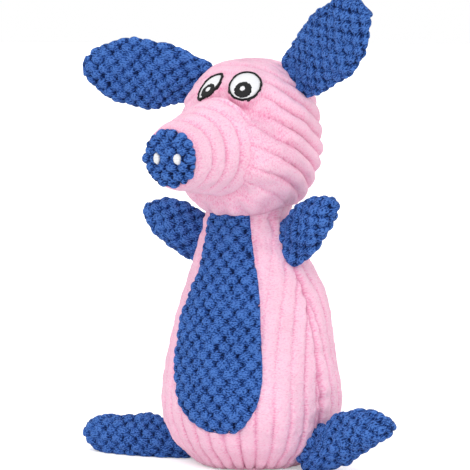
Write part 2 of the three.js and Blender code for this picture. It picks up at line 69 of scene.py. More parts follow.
# The forms, in millimetres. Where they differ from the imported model's, they follow the photograph
BODY_SIDE = [(41, 8.5), (51.5, 20), (57.3, 46), (48, 98), (36.5, 130), (30.4, 147), (27.6, 158)]
HIPS = 52
NECK_SEAM = 158
NECK_RADIUS = 27.6
NECK_HEIGHT = 168
SIDE_SEAM = math.radians(80)
BASE_FLAT = 29
# The belly panel's two edges, as height and distance round the body from its front
PANEL_RIGHT = [
    (27.4, 9), (28.8, 0), (31.2, -8), (37, -16.5), (44, -23.4), (54, -28.8), (65, -32.2), (75, -33.5),
    (84, -33.8), (93, -33.2), (103, -30.3), (115, -25), (124, -20.8), (133, -17.8), (142, -16.7),
    (153, -16.6), (163.6, -15.6),
]
PANEL_LEFT = [
    (27.4, 13), (28.8, 19.5), (33.4, 25.8), (39.5, 30.2), (45, 33.2), (52.5, 35.4), (62, 36), (71, 35.2),
    (79, 34), (93, 31.7), (107, 29.4), (119, 26.8), (129, 24.4), (138, 21.8), (147, 19.3), (156, 17.3),
    (163.6, 15.8),
]
PANEL_THICKNESS = 3.9
# How far the upper body leans from its middle line
LEAN = (-2.5, -1.5)

HEAD_CENTRE = np.array([0.0, -2.0, 209.0])
HEAD_HALVES = np.array([43.0, 43.5, 51.0])
HEAD_SQUARENESS = 2.3
MUZZLE_SWELL = 17
MUZZLE_FLAT = math.radians(25)
MUZZLE_UPPER = math.radians(50)
MUZZLE_LOWER = math.radians(82)
MUZZLE_BLEND = 0.45
MUZZLE_WAY = np.array([0, -1, -0.012])
SNOUT_DROOP = math.radians(4.2)
SNOUT_ROOT = np.array([0.0, -2.0, 208.5])
SNOUT_WAY = np.array([0.0, -math.cos(SNOUT_DROOP), -math.sin(SNOUT_DROOP)])
SNOUT_UP = np.array([0.0, -math.sin(SNOUT_DROOP), math.cos(SNOUT_DROOP)])
SNOUT_START = 37
SNOUT_SEAM = 52
SNOUT_REACH = 95
SNOUT_FRONT = 18.5
SNOUT_BACK = 27.6
SNOUT_TAPER = (SNOUT_BACK - SNOUT_FRONT) / (SNOUT_REACH - SNOUT_SEAM)
SNOUT_WALE = 12.6
NOSE_RADIUS = 17.2
NOSTRIL_APART = 14.5
NOSTRIL_HALF = (2.35, 3.5)
# The head's wales run round a line that leans back, and each takes up the same angle about it
WALE_TILT = math.radians(27)
WALE_SIDEWAYS = 0.095
WALE_FIRST = math.radians(66)
WALE_TURN = math.radians(12.6)

# The coarse cloth that a filling is tried on, and the most that it may move the skin
CLOTH_CELL = 5.5
CLOTH_MOST = 2.0
# Below about 12 this soft cloth sags inwards. At 30 it stands out by half a millimetre on average
CLOTH_PRESSURE = 30.0
# Kilograms at each point of the coarse cloth. Blender's own 0.3 kg is far too heavy for a toy's cloth
CLOTH_MASS = 0.001
CLOTH_STIFFNESS = 0.5
CLOTH_FRAMES = 20

# The cells that a wad of fibre is made of anew, in metres, and in millimetres how far it is drawn in and
# how far under the head's form it stays
FIBRE_CELL = 0.0026
FIBRE_INSET = 1.1
FIBRE_UNDER_HEAD = 4.0

# Each eye: azimuth and elevation of its middle, half length and half width, tilt, how pointed its ends
# are, and its pupil's half length and half width, all as sewn
EYES = {
    1: {"middle": (24.3, 44.8), "half": (11.6, 10.7), "tilt": 66, "point": 0, "pupil": (5.8, 5.6)},
    -1: {"middle": (15.8, 43.8), "half": (11.6, 6.6), "tilt": 111, "point": 0.3, "pupil": (5.4, 4.7)},
}
EYE_LINE = 1.35
PUPIL_CENTRE = (-0.9, -3.6)
GLINT_CENTRE = (-1.2, -3.0)
GLINT_HALF = (1.75, 1.6)

# Each leaf: its length, half width, half thickness and how far it goes on behind its hinge, and from the
# root to the tip its shares of the half width above and below its middle line and of the half thickness
EAR_DEPTHS = [0.8, 0.95, 1, 1, 0.95, 0.85, 0.7, 0.5, 0]
ARM = {
    "size": (41, 16.0, 9, 5.5),
    "above": [0.88, 0.98, 0.98, 0.9, 0.78, 0.62, 0.45, 0.25, 0],
    "below": [0.97, 0.92, 0.82, 0.7, 0.58, 0.46, 0.33, 0.18, 0],
    "depths": [0.61, 0.86, 1, 1, 0.92, 0.8, 0.62, 0.4, 0],
}
LEAVES = {
    "ear_left": {
        "size": (80, 21.2, 5, 4),
        "above": [1.05, 1.1, 1.1, 1.06, 0.95, 0.77, 0.55, 0.3, 0],
        "below": [0.42, 0.7, 0.9, 0.97, 0.93, 0.8, 0.58, 0.32, 0],
        "depths": EAR_DEPTHS,
    },
    "ear_right": {
        "size": (80, 21.2, 5, 4),
        "above": [0.62, 0.86, 0.98, 1.0, 0.92, 0.72, 0.47, 0.22, 0],
        "below": [0.7, 0.9, 1.02, 1.04, 0.97, 0.82, 0.6, 0.34, 0],
        "depths": EAR_DEPTHS,
    },
    "arm_left": ARM,
    "arm_right": ARM,
    "foot_left": {
        "size": (65, 15.2, 11, 7),
        "above": [1.32, 1.38, 1.32, 1.2, 1.08, 0.9, 0.68, 0.4, 0],
        "below": [0.9, 0.76, 0.6, 0.5, 0.48, 0.44, 0.38, 0.24, 0],
        "depths": [1.0, 1.08, 1.08, 1.02, 0.95, 0.82, 0.64, 0.42, 0],
    },
    "foot_right": {
        "size": (65, 15.2, 11, 7),
        "above": [1.1, 1.08, 1.0, 0.93, 0.88, 0.77, 0.6, 0.36, 0],
        "below": [0.9, 1, 1, 0.98, 0.93, 0.82, 0.63, 0.38, 0],
        "depths": [0.64, 0.86, 1, 1, 0.94, 0.82, 0.64, 0.42, 0],
    },
}
# The way that each leaf points: its sweep from straight ahead and its lift, in degrees
LEAF_WAYS = {
    "ear_left": (63, 37),
    "ear_right": (75, 8),
    "arm_left": (82, 37),
    "arm_right": (82, 23),
    "foot_left": (75, 24),
    "foot_right": (84, 2),
}
# How much higher the feet's wads lie than their solids, as their covers do
FOOT_LIFTS = {"foot_left": 4.6, "foot_right": 1.4}

# The photograph's side in pixels, its scale, the point in metres that the lamps and the camera aim at,
# and the pixel where that point is seen
FRAME_PX = 470
MM_PER_PX = 0.64
AIM = Vector((0, 0, 0.15))
AIM_SEEN_AT = (252, 231)


def srgb(hex_colour):
    """An sRGB hex colour as three values from 0 to 1."""
    return tuple(int(hex_colour[i : i + 2], 16) / 255 for i in (1, 3, 5))


def linear(hex_colour):
    """An sRGB hex colour as the linear values that a shader takes, with its alpha."""
    values = (v / 12.92 if v <= 0.04045 else ((v + 0.055) / 1.055) ** 2.4 for v in srgb(hex_colour))
    return (*values, 1)


# Helpers on arrays


def smooth(value, low, high):
    """0 at low and 1 at high, with a soft start and end. Low may be the greater of the two."""
    share = np.clip((np.asarray(value, float) - low) / (high - low), 0, 1)
    return share * share * (3 - 2 * share)


def hump(value, width):
    """1 where a value is 0, falling away on both sides of it."""
    return np.exp(-((value / width) ** 2))


def unit(vectors):
    """The same ways, each with a length of 1."""
    return vectors / np.maximum(np.linalg.norm(vectors, axis=-1, keepdims=True), 1e-9)


def curve_through(points, spacing):
    """A smooth line through points, as close points that lie evenly along it."""
    points = np.array(points, float)
    padded = np.vstack([points[0], points, points[-1]])
    found = []
    for i in range(len(points) - 1):
        a, b, c, d = padded[i : i + 4]
        t = np.linspace(0, 1, 40, endpoint=False)[:, None]
        pull = 0.5 * ((c - a) + (2 * a - 5 * b + 4 * c - d) * t + (3 * b - a - 3 * c + d) * t * t)
        found.append(b + t * pull)
    line = np.vstack(found + [points[-1:]])
    return evenly(line, spacing)


def run_along(line):
    """How far along a line each of its points lies."""
    return np.concatenate([[0], np.cumsum(np.linalg.norm(np.diff(line, axis=0), axis=1))])


def evenly(line, spacing):
    """Points at even distances along a line of straight pieces."""
    run = run_along(line)
    count = max(int(round(run[-1] / spacing)), 2)
    places = np.linspace(0, run[-1], count + 1)
    return np.stack([np.interp(places, run, line[:, k]) for k in range(line.shape[1])], axis=1)


def full_turn(count):
    """Even angles round a full turn."""
    return np.linspace(0, 2 * math.pi, count, endpoint=False)


def way_to(azimuth, elevation):
    """The way that two angles in degrees point: from straight ahead to the toy's left, and up."""
    a, e = math.radians(azimuth), math.radians(elevation)
    return np.array([math.sin(a) * math.cos(e), -math.cos(a) * math.cos(e), math.sin(e)])


def lumps(points, length, seed, waves=9):
    """A soft uneven value about zero, with swells of about a length."""
    rng = np.random.default_rng(seed)
    total = np.zeros(points.shape[:-1])
    for _ in range(waves):
        way = unit(rng.normal(size=3)) * 2 * math.pi / (length * rng.uniform(0.7, 1.5))
        total += np.sin(points @ way + rng.uniform(0, 2 * math.pi))
    return total / math.sqrt(waves)


def scatter(i, j, seed):
    """An even random number from 0 to 1 for each whole pair."""
    value = np.sin(i * 127.1 + j * 311.7 + seed * 74.7) * 43758.5453
    return value - np.floor(value)


# Reliefs of the two plush cloths, at places in millimetres


def wale_ridge(across, pitch, flatness=3.6):
    """How high a wale's pile stands, from 0 in the groove to 1 on the crest."""
    share = np.abs(2 * (across / pitch - np.round(across / pitch)))
    return (1 - share**flatness) ** 0.7


def bobble_domes(u, v, seed, pitch=9.2, row=5.35, radius=4.6):
    """How high a bobble stands, from 0 in the pits to 1 on top, for staggered rows of bobbles."""
    best = np.zeros(np.shape(u))
    j0 = np.floor(v / row)
    for dj in (-1, 0, 1, 2):
        j = j0 + dj
        shift = 0.5 * np.mod(j, 2)
        i0 = np.floor(u / pitch - shift)
        for di in (0, 1):
            i = i0 + di
            cu = (i + shift + 0.12 * (scatter(i, j, seed) - 0.5)) * pitch
            cv = (j + 0.16 * (scatter(i, j, seed + 1) - 0.5)) * row
            size = radius * (0.94 + 0.12 * scatter(i, j, seed + 2))
            # A bobble slopes away above and drops off more sharply below, over the next row
            tall = size * np.where(v > cv, 1.04, 0.8)
            away = ((u - cu) / size) ** 2 + ((v - cv) / tall) ** 2
            lift = 0.88 + 0.24 * scatter(i, j, seed + 3)
            best = np.maximum(best, np.clip(1 - away, 0, 1) ** 0.48 * lift)
    return best


def tufts(points, seed):
    """The fine unevenness of short pile."""
    return 0.6 * lumps(points, 2.6, seed) + 0.4 * lumps(points, 4.4, seed + 1)


# Meshes from grids of points


def rings_round(outline, columns, centre=(0, 0, 0), way=(0, 0, 1), first=(0, -1, 0)):
    """Rings of points round a line, from an outline of how far along it and how far out from it they
    lie, and the angle of each point from the first way towards the toy's left."""
    angle = full_turn(columns)
    ring = np.sin(angle)[:, None] * np.array([1, 0, 0]) + np.cos(angle)[:, None] * np.array(first)
    points = centre + outline[:, None, :1] * np.array(way) + outline[:, None, 1:] * ring
    return points, np.broadcast_to(angle, points.shape[:2])


def outward_normals(points, outwards):
    """The way off the cloth at each point of some rings, to the side that outwards names."""
    padded = np.concatenate([points[:, -1:], points, points[:, :1]], axis=1)
    around = np.gradient(padded, axis=1)[:, 1:-1]
    normals = unit(np.cross(around, np.gradient(points, axis=0)))
    return normals * np.sign((normals * outwards).sum())


def select_only(piece):
    """Makes a piece the one that the next operators work on."""
    bpy.ops.object.select_all(action="DESELECT")
    bpy.context.view_layer.objects.active = piece
    piece.select_set(True)


def add_mesh(name, points, faces, pile, cloth, finish):
    """A new object from millimetre points, with its pile height, which also carries painted shade, and cloth place
    kept as attributes.
    """
    mesh = bpy.data.meshes.new(name)
    mesh.from_pydata((points * MM).tolist(), [], faces)
    height = mesh.attributes.new("pile", "FLOAT", "POINT")
    height.data.foreach_set("value", np.asarray(pile, np.float32))
    place = mesh.attributes.new("cloth", "FLOAT_VECTOR", "POINT")
    place.data.foreach_set("vector", (np.asarray(cloth, np.float32) * MM).ravel())
    mesh.materials.append(finish_named(finish))
    mesh.polygons.foreach_set("use_smooth", [True] * len(mesh.polygons))
    mesh.update()
    piece = bpy.data.objects.new(name, mesh)
    bpy.context.scene.collection.objects.link(piece)
    # The order of the rings doesn't promise that the faces look outwards
    select_only(piece)
    bpy.ops.object.mode_set(mode="EDIT")
    bpy.ops.mesh.select_all(action="SELECT")
    bpy.ops.mesh.normals_make_consistent(inside=False)
    bpy.ops.object.mode_set(mode="OBJECT")
    piece.select_set(False)
    return piece


def ring_faces(points, rows_too=False):
    """The faces between rings of points. With rows_too, the last ring joins the first one as well."""
    rows, columns = points.shape[:2]
    a = np.arange(rows * columns).reshape(rows, columns)
    corners = [a, np.roll(a, -1, axis=1)]
    corners += [np.roll(corner, -1, axis=0) for corner in reversed(corners)]
    quads = np.stack(corners, axis=-1)
    return quads[: rows if rows_too else rows - 1].reshape(-1, 4).tolist()


def closed_skin(name, points, pile, cloth, finish, ends=None):
    """Rings of points round a form, closed by a point at each end. Unless ends says where these are,
    they lie in the middle of the first and the last ring."""
    columns, last = points.shape[1], points[..., 0].size
    ends = ends or (points[0].mean(0), points[-1].mean(0))
    fans = []
    for first, tip, way in ((0, last, -1), (last - columns, last + 1, 1)):
        ring = first + np.arange(columns)
        pairs = np.stack([ring, np.roll(ring, -1)], axis=-1)[:, ::way].tolist()
        fans += [[tip, *pair] for pair in pairs]
    flat = np.vstack([points.reshape(-1, 3), *ends])
    places = np.vstack([cloth.reshape(-1, 3), cloth[0].mean(0), cloth[-1].mean(0)])
    heights = np.concatenate([pile.ravel(), [pile[0].mean(), pile[-1].mean()]])
    return add_mesh(name, flat, ring_faces(points) + fans, heights, places, finish)


def vertex_places(mesh):
    """A mesh's points in millimetres."""
    places = np.zeros(len(mesh.vertices) * 3)
    mesh.vertices.foreach_get("co", places)
    return places.reshape(-1, 3) / MM


def dress(piece, node, body=None):
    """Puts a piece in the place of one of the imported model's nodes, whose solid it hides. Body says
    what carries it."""
    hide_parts(node)
    if body:
        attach(piece, body)


def filled(points, held):
    """How far a closed skin's cloth stands out when its filling pushes on it. Blender's cloth settles a
    coarse copy of the skin, which stays where held is 1, as at a seam. The skin was drawn filled, so
    what comes back is taken from its mean: seams draw in, the cloth between them swells."""
    rows, columns = points.shape[:2]
    run = np.linalg.norm(np.diff(points, axis=0), axis=-1).sum(0).mean()
    girth = np.linalg.norm(np.diff(points, axis=1), axis=-1).sum(1).max()
    i = np.linspace(0, rows - 1, int(run / CLOTH_CELL)).round().astype(int)
    j = np.linspace(0, columns, int(girth / CLOTH_CELL), endpoint=False).round().astype(int)
    coarse, fixed = points[np.ix_(i, j)], held[np.ix_(i, j)]
    trial = closed_skin("trial_cloth", coarse, fixed, coarse, "wide_wale_plush")
    group = trial.vertex_groups.new(name="seams")
    for index, share in enumerate(fixed.ravel().tolist() + [1.0, 1.0]):
        group.add([index], share, "REPLACE")
    cloth = trial.modifiers.new("Cloth", "CLOTH")
    settings = cloth.settings
    settings.mass = CLOTH_MASS
    settings.tension_stiffness = settings.compression_stiffness = CLOTH_STIFFNESS
    settings.shear_stiffness = CLOTH_STIFFNESS / 3
    settings.bending_stiffness = CLOTH_STIFFNESS / 50
    settings.vertex_group_mass = group.name
    settings.use_pressure = True
    settings.uniform_pressure_force = CLOTH_PRESSURE
    settings.effector_weights.gravity = 0
    cloth.point_cache.frame_end = CLOTH_FRAMES
    for step in range(1, CLOTH_FRAMES + 1):
        bpy.context.scene.frame_set(step)
    settled = trial.evaluated_get(bpy.context.evaluated_depsgraph_get()).data
    shift = vertex_places(settled)[:-2].reshape(coarse.shape) - coarse
    bpy.context.scene.frame_set(1)
    mesh = trial.data
    bpy.data.objects.remove(trial)
    bpy.data.meshes.remove(mesh)
    out = (shift * outward_normals(coarse, coarse - coarse.mean((0, 1)))).sum(-1)
    out = np.clip(out - out[fixed < 0.5].mean(), -CLOTH_MOST, CLOTH_MOST)
    # From the coarse cells back to every point of the skin, and softened
    tall = np.array([np.interp(np.arange(rows), i, line) for line in out.T]).T
    closed = np.concatenate([tall, tall[:, :1]], axis=1)
    full = np.array([np.interp(np.arange(columns), [*j, columns], line) for line in closed])
    for _ in range(12):
        full = (2 * full + np.roll(full, 1, axis=1) + np.roll(full, -1, axis=1)) / 4
        full[1:-1] = (2 * full[1:-1] + full[2:] + full[:-2]) / 4
    return full


# Materials


def add_node(tree, kind, settings=None, **links):
    """Adds a shader node, sets its sockets, settings and colour stops, and links what is given as
    (node, output)."""
    node = tree.nodes.new("ShaderNode" + kind)
    for key, value in (settings or {}).items():
        if key == "stops":
            elements = node.color_ramp.elements
            while len(elements) < len(value):
                elements.new(0.5)
            for element, (place, colour) in zip(elements, value):
                element.position = place
                element.color = linear(colour)
        elif isinstance(key, int) or key in node.inputs:
            node.inputs[key].default_value = value
        else:
            setattr(node, key, value)
    for key, (source, output) in links.items():
        socket = node.inputs[int(key[1:])] if key[1:].isdigit() else node.inputs[key.replace("_", " ")]
        tree.links.new(source.outputs[output], socket)
    return node


def new_material(name):
    """An empty material and its node tree."""
    material = bpy.data.materials.new(name)
    material.use_nodes = True
    material.node_tree.nodes.clear()
    return material, material.node_tree


def noise(tree, size_mm, place, **settings):
    """Noise whose swells are about a size across."""
    settings = {key.title(): value for key, value in settings.items()}
    return add_node(tree, "TexNoise", {"Scale": 1 / (size_mm * MM), **settings}, Vector=place)


def spread_out(tree, source, low, high):
    """The middle of a noise, spread over low to high."""
    ends = {"From Min": 0.3, "From Max": 0.7, "To Min": low, "To Max": high}
    return add_node(tree, "MapRange", ends, Value=(source, "Fac"))


def bumps(tree, source, strength, height_mm):
    """Small relief in the shading alone."""
    settings = {"Strength": strength, "Distance": height_mm * MM}
    return add_node(tree, "Bump", settings, Height=(source, "Fac")), "Normal"


def ramp(tree, source, *stops):
    """Colours by a value, from the lowest to the highest."""
    return add_node(tree, "ValToRGB", {"stops": stops}, Fac=source), "Color"


def surface(tree, settings, **links):
    """The material's surface."""
    shader = add_node(tree, "BsdfPrincipled", settings, **links)
    add_node(tree, "OutputMaterial", {}, Surface=(shader, "BSDF"))


def plush(name, stops, tuft_mm, unevenness, bump_mm, sheen):
    """Short polyester pile: matt, with a soft pale sheen at its edges. Its colour is darkened by painted
    shade where the pile dips into a groove or a pit, and single tufts stand higher or lower than the rest."""
    material, tree = new_material(name)
    height = add_node(tree, "Attribute", {"attribute_name": "pile"})
    place = add_node(tree, "Attribute", {"attribute_name": "cloth"})
    whole = add_node(tree, "TexCoord")
    # Tufts a little longer along one way of the cloth than along the other
    stretch = add_node(tree, "Mapping", {"Scale": (0.75, 1.35, 1.0)}, Vector=(place, "Vector"))
    tuft = noise(tree, tuft_mm, (stretch, "Vector"), detail=3.0, roughness=0.65)
    # Cloth that has been handled lies a little lighter and darker in broad soft areas
    drift = noise(tree, 24, (whole, "Object"), detail=2.0)
    uneven = spread_out(tree, tuft, -unevenness, unevenness)
    stand = add_node(tree, "Math", {"operation": "ADD"}, _0=(height, "Fac"), _1=(uneven, "Result"))
    # The ramp paints shade: the lower the pile value, in grooves, pits, seams and creases, the darker
    base = ramp(tree, (stand, 0), *stops)
    shade = spread_out(tree, drift, 0.95, 1.04)
    varied = add_node(tree, "HueSaturation", {}, Value=(shade, "Result"), Color=base)
    looks = {
        "Roughness": 0.92,
        "Specular IOR Level": 0.2,
        "Sheen Weight": sheen[0],
        "Sheen Roughness": 0.45,
        "Sheen Tint": linear(sheen[1]),
    }
    surface(tree, looks, Base_Color=(varied, "Color"), Normal=bumps(tree, tuft, 0.6, bump_mm))
    return material


def thread(name, colour, dark):
    """Polyester embroidery thread in satin stitch: close parallel threads with a soft lustre, and painted shade in
    the gaps between them.
    """
    material, tree = new_material(name)
    place = add_node(tree, "Attribute", {"attribute_name": "cloth"})
    # A wave texture at scale 1 has a band about every 0.32 m. Here a thread and its gap take 0.9 mm
    waves = {"bands_direction": "Y", "Scale": 0.32 / (0.9 * MM), "Distortion": 1.2, "Detail": 1.0}
    lines = add_node(tree, "TexWave", waves, Vector=(place, "Vector"))
    # The darker colour is painted shade in the gaps between the threads
    base = ramp(tree, (lines, "Fac"), (0.0, dark), (0.55, colour), (1.0, colour))
    looks = {"Roughness": 0.55, "Specular IOR Level": 0.3}
    surface(tree, looks, Base_Color=base, Normal=bumps(tree, lines, 0.5, 0.25))
    return material


def fibre_filling(name):
    """Loose crimped polyester fibre: white, cloudy and quite matt."""
    material, tree = new_material(name)
    whole = add_node(tree, "TexCoord")
    cloud = noise(tree, 5, (whole, "Object"), detail=5.0, distortion=1.5)
    base = ramp(tree, (cloud, "Fac"), (0.3, "#d9d7cf"), (0.7, "#f7f6f1"))
    looks = {"Roughness": 0.95, "Specular IOR Level": 0.2, "Sheen Weight": 0.4}
    surface(tree, looks, Base_Color=base, Normal=bumps(tree, cloud, 0.8, 1.5))
    return material


def moulded_plastic(name):
    """Soft polyethylene, injection moulded: milky, slightly waxy, with a faint grain from the mould."""
    material, tree = new_material(name)
    whole = add_node(tree, "TexCoord")
    grain = noise(tree, 0.8, (whole, "Object"), detail=2.0)
    base = ramp(tree, (grain, "Fac"), (0.3, "#dfe4e8"), (0.7, "#eef1f3"))
    rough = spread_out(tree, grain, 0.38, 0.52)
    surface(tree, {"IOR": 1.51}, Base_Color=base, Roughness=(rough, "Result"))
    return material


def finish_named(name):
    """The finishes, each made once."""
    if name in bpy.data.materials:
        return bpy.data.materials[name]
    if name == "wide_wale_plush":
        # The groove colour at 0 is painted shade in the grooves
        stops = colour_stops(pink_groove=0.0, pink_side=0.5, pink_crest=1.0)
        return plush(name, stops, tuft_mm=1.2, unevenness=0.8, bump_mm=1.8, sheen=(0.3, "#ffd3e5"))
    if name == "bobble_plush":
        # The pit colour at 0.12 is painted shade in the pits
        stops = colour_stops(blue_pit=0.12, blue_side=0.62, blue_crest=1.0)
        return plush(name, stops, tuft_mm=1.1, unevenness=1.0, bump_mm=1.9, sheen=(0.1, "#8fb2ec"))
    if name == "white_satin_thread":
        return thread(name, "#f3f3f4", "#cfd1d6")
    if name == "black_satin_thread":
        return thread(name, "#0c0c10", "#030305")
    if name == "crimped_fibre":
        return fibre_filling(name)
    return moulded_plastic(name)


def colour_stops(**places):
    """The chosen colours of a cloth, each at how high its pile stands there. The lower stops are painted shade for
    the grooves and pits.
    """
    stops = []
    for key, place in places.items():
        values = (round(min(max(v, 0), 1) * 255) for v in getattr(bpy.context.scene.pig_colours, key))
        stops.append((place, "#" + "".join(f"{v:02x}" for v in values)))
    return stops


def colour_picker(name, description, hex_colour):
    return FloatVectorProperty(
        name=name, description=description, default=srgb(hex_colour), min=0, max=1,
        subtype="COLOR_GAMMA", size=3,
    )


def length_picker(name, description, metres):
    return FloatProperty(name=name, description=description, default=metres, unit="LENGTH")


class PigColours(bpy.types.PropertyGroup):
    """The colours of the two plush cloths, as sRGB values. The groove and pit colours, and in part the side
    colours, are painted shade.
    """

    # Painted shade: the groove colour stands for the shade deep between the wales
    pink_groove: colour_picker("Pink groove", "Pink cloth deep between its wales", "#f19bbf")
    pink_side: colour_picker("Pink side", "Pink cloth on the flank of a wale", "#fabad5")
    pink_crest: colour_picker("Pink crest", "Pink cloth on top of a wale", "#fccee1")
    # Painted shade: the pit colour stands for the shade between the bobbles
    blue_pit: colour_picker("Blue pit", "Blue cloth between its bobbles", "#061b49")
    blue_side: colour_picker("Blue side", "Blue cloth on the flank of a bobble", "#204994")
    blue_crest: colour_picker("Blue crest", "Blue cloth on top of a bobble", "#4a78c4")


class PigCloth(bpy.types.PropertyGroup):
    """The relief of the two plush cloths."""

    wale_pitch: length_picker("Wale pitch", "From one wale to the next", 0.0108)
    wale_height: length_picker("Wale height", "From a groove to a crest", 0.0026)
    bobble_pitch: length_picker("Bobble pitch", "From one bobble to the next in a row", 0.0092)
    bobble_height: length_picker("Bobble height", "From a pit to a bobble's top", 0.0036)
    mesh_step: length_picker("Mesh step", "From one row of the body's cloth to the next", 0.00115)


def cloth_mm(key):
    """One of the cloth's sizes in millimetres."""
    return getattr(bpy.context.scene.pig_cloth, key) / MM


# Body


def body_radius(height):
    """How far out the body's form lies at a height."""
    line = curve_through(BODY_SIDE, 1.0)
    return np.interp(height, line[:, 1], line[:, 0])


def lean_at(height):
    """How far the body's middle stands off at a height."""
    share = smooth(height, 105, 148) * (1 - smooth(height, NECK_SEAM, 176))
    return np.stack([share * LEAN[0], share * LEAN[1], 0 * share], axis=-1)


def panel_edge(edge, height):
    """How far round the body an edge of the belly panel lies at a height."""
    return np.interp(height, *np.array(edge, float).T)


def inside_panel(round_body, height):
    """How far inside the belly panel's outline a place is, in millimetres, or less than 0 outside it."""
    right, left = panel_edge(PANEL_RIGHT, height), panel_edge(PANEL_LEFT, height)
    inside = np.minimum(round_body - right, left - round_body)
    return np.minimum(inside, np.minimum(height - PANEL_LEFT[0][0], PANEL_LEFT[-1][0] - height))


def make_body():
    """The body's cover, a tall pear with its wales running up it. It goes on into the neck's socket."""
    pitch = cloth_mm("wale_pitch")
    turned_in = evenly(np.array([(3, 3.4), (22, 3.2), (28.6, 2.2)]), 4.0)
    side = curve_through([(29.4, 1.2), (33, 2.2), (37.6, 5)] + BODY_SIDE, cloth_mm("mesh_step"))
    low = -math.asin((NECK_HEIGHT - NECK_SEAM) / (NECK_RADIUS + 1.8))
    bend = np.linspace(low, 1.45, 34)[1:]
    dome = np.stack([NECK_RADIUS * np.cos(bend), NECK_HEIGHT + NECK_RADIUS * np.sin(bend)], axis=1)
    outline = np.vstack([turned_in, side, dome])
    points, angle = rings_round(outline[:, ::-1], columns=400)
    height = points[..., 2]
    radius = outline[:, None, 0] * np.ones(points.shape[:2])
    # Below the hips the wales draw together, and behind they narrow a little towards the neck
    cut = np.where(height < HIPS, body_radius(HIPS), radius)
    turn = (angle + math.pi) % (2 * math.pi) - math.pi
    front = np.abs(turn) < SIDE_SEAM
    back_turn = angle - math.pi
    across = np.where(front, turn * cut, back_turn * (0.45 * cut + 0.55 * body_radius(HIPS)))
    across = across + 0.8 * lumps(points * [1, 1, 0.4], 60, 7)
    ridge = wale_ridge(across + pitch / 2, pitch)
    # How deep the wales are: shallow in front, deeper at the sides and the base
    strength = 0.34 + 0.6 * smooth(np.abs(turn), 0.95, 1.5) + 0.75 * smooth(height, 66, 22)
    strength = strength * (1 + 0.3 * lumps(points * [1, 1, 0.5], 46, 6))
    strength = np.clip(strength * (1 - 0.4 * smooth(height, 125, 150)), 0.15, 1.2)
    sag = 0.8 * lumps(points * [1, 1, 0.6], 38, 5) + 0.3 * lumps(points * [1, 1, 1.6], 14, 9)
    relief = cloth_mm("wale_height") * strength * (ridge - 0.72) + 0.7 * sag + 0.2 * tufts(points, 3)
    # The painted shade in the grooves is fainter where the wales are shallow
    ridge = 1 - (1 - ridge) * np.clip(0.25 + strength, 0, 1)
    # The back is a little fuller
    relief += 3.0 * hump(height - 116, 26) * smooth(np.abs(turn), 1.25, 1.8)
    # The side seams draw the cloth in, with small puckers across them
    off_seam = (np.abs(turn) - SIDE_SEAM) * radius
    seam = hump(off_seam, 1.7) * smooth(height, 154, 140) * smooth(height, 6, 14)
    pucker = hump(off_seam, 7) * smooth(height, 150, 136)
    relief -= 2.0 * seam
    relief += 0.45 * pucker * np.sin(height / 1.9 + 2 * lumps(points, 26, 12))
    # Soft gathers where the cloth is drawn into the neck
    gather = smooth(height, 128, 154) * smooth(height, 176, 164)
    fold = np.sin(height / 2.7 + turn * 1.6 + 1.5 * lumps(points, 24, 11))
    relief += gather * 0.55 * fold
    crease = hump((turn - 1.12) * radius, 2.6) * smooth(height, 148, NECK_SEAM)
    relief -= 1.8 * crease * smooth(height, 176, 166)
    # Under the belly panel it lies deeper
    inside = inside_panel(turn * radius, height)
    under = np.where(front, smooth(inside, 0.6, 2.8), 0)
    edge = np.where(front, hump(inside + 0.6, 1.5), 0)
    relief = relief * (1 - under) - 3.8 * under - 0.5 * edge
    # The filling swells the cloth between its seams
    held = np.maximum(seam, np.clip(under + edge, 0, 1))
    held = np.maximum(held, np.maximum(smooth(height, 12, 9), smooth(height, 152, NECK_SEAM)))
    swell = filled(points, held) * (1 - under)
    relief += swell * smooth(height, 6, 14) * smooth(height, NECK_SEAM, 150)
    # It turns under at the base in scallops, one to each wale
    relief -= smooth(height, 9, 2) * 1.2 * (1 - ridge)
    relief = relief * (1 - smooth(height, NECK_SEAM, 165))
    # The pile value paints shade: in the grooves, at the side seams, under the belly panel, in the troughs of the
    # gathers, in the crease and along the panel's edge
    pile = np.clip(ridge * (1 - 0.8 * seam) - 0.7 * under, 0, 1)
    pile = pile * (1 - 0.12 * gather * (1 - fold)) * (1 - 0.5 * crease) * (1 - 0.3 * edge)
    normals = outward_normals(points, points * [1, 1, 0])
    moved = points + normals * relief[..., None] + lean_at(height)
    moved[: len(turned_in)] = points[: len(turned_in)]
    moved[..., 2] = np.maximum(moved[..., 2], 0.6)
    run = np.broadcast_to(run_along(outline)[:, None], across.shape)
    cloth = np.stack([across, run, height], axis=-1)
    ends = [0, 0, 3.4], [0, 0, NECK_HEIGHT + NECK_RADIUS]
    piece = closed_skin("body_plush", moved, pile, cloth, "wide_wale_plush", ends)
    dress(piece, "body_cover", "body")


def make_base():
    """The round of cloth that the toy stands on, flat below and sewn in under the body's edge."""
    lower = curve_through(
        [(2, 0.3), (24, 0.3), (BASE_FLAT, 0.5), (30.8, 1.1), (31, 1.7), (29.8, 2.2)], 1.2
    )
    upper = evenly(np.array([(29.2, 2.4), (24, 2.7), (2, 2.7)]), 4.0)
    points, _ = rings_round(np.vstack([lower, upper])[:, ::-1], columns=200)
    pitch = cloth_mm("wale_pitch")
    ridge = wale_ridge(points[..., 0] + pitch / 2, pitch)
    shown = np.zeros(points.shape[:2])
    shown[: len(lower)] = 1
    moved = points.copy()
    moved[..., 2] -= shown * (1.1 * (ridge - 1) + 0.1 * tufts(points, 8))
    moved[..., 2] = np.clip(moved[..., 2], 0.1, 2.8)
    ends = [0, 0, 0.4], [0, 0, 2.7]
    # The wale ridges serve as the pile value, which paints shade in the grooves
    piece = closed_skin("base_plush", moved, ridge, points, "wide_wale_plush", ends)
    dress(piece, "base_panel", "body")


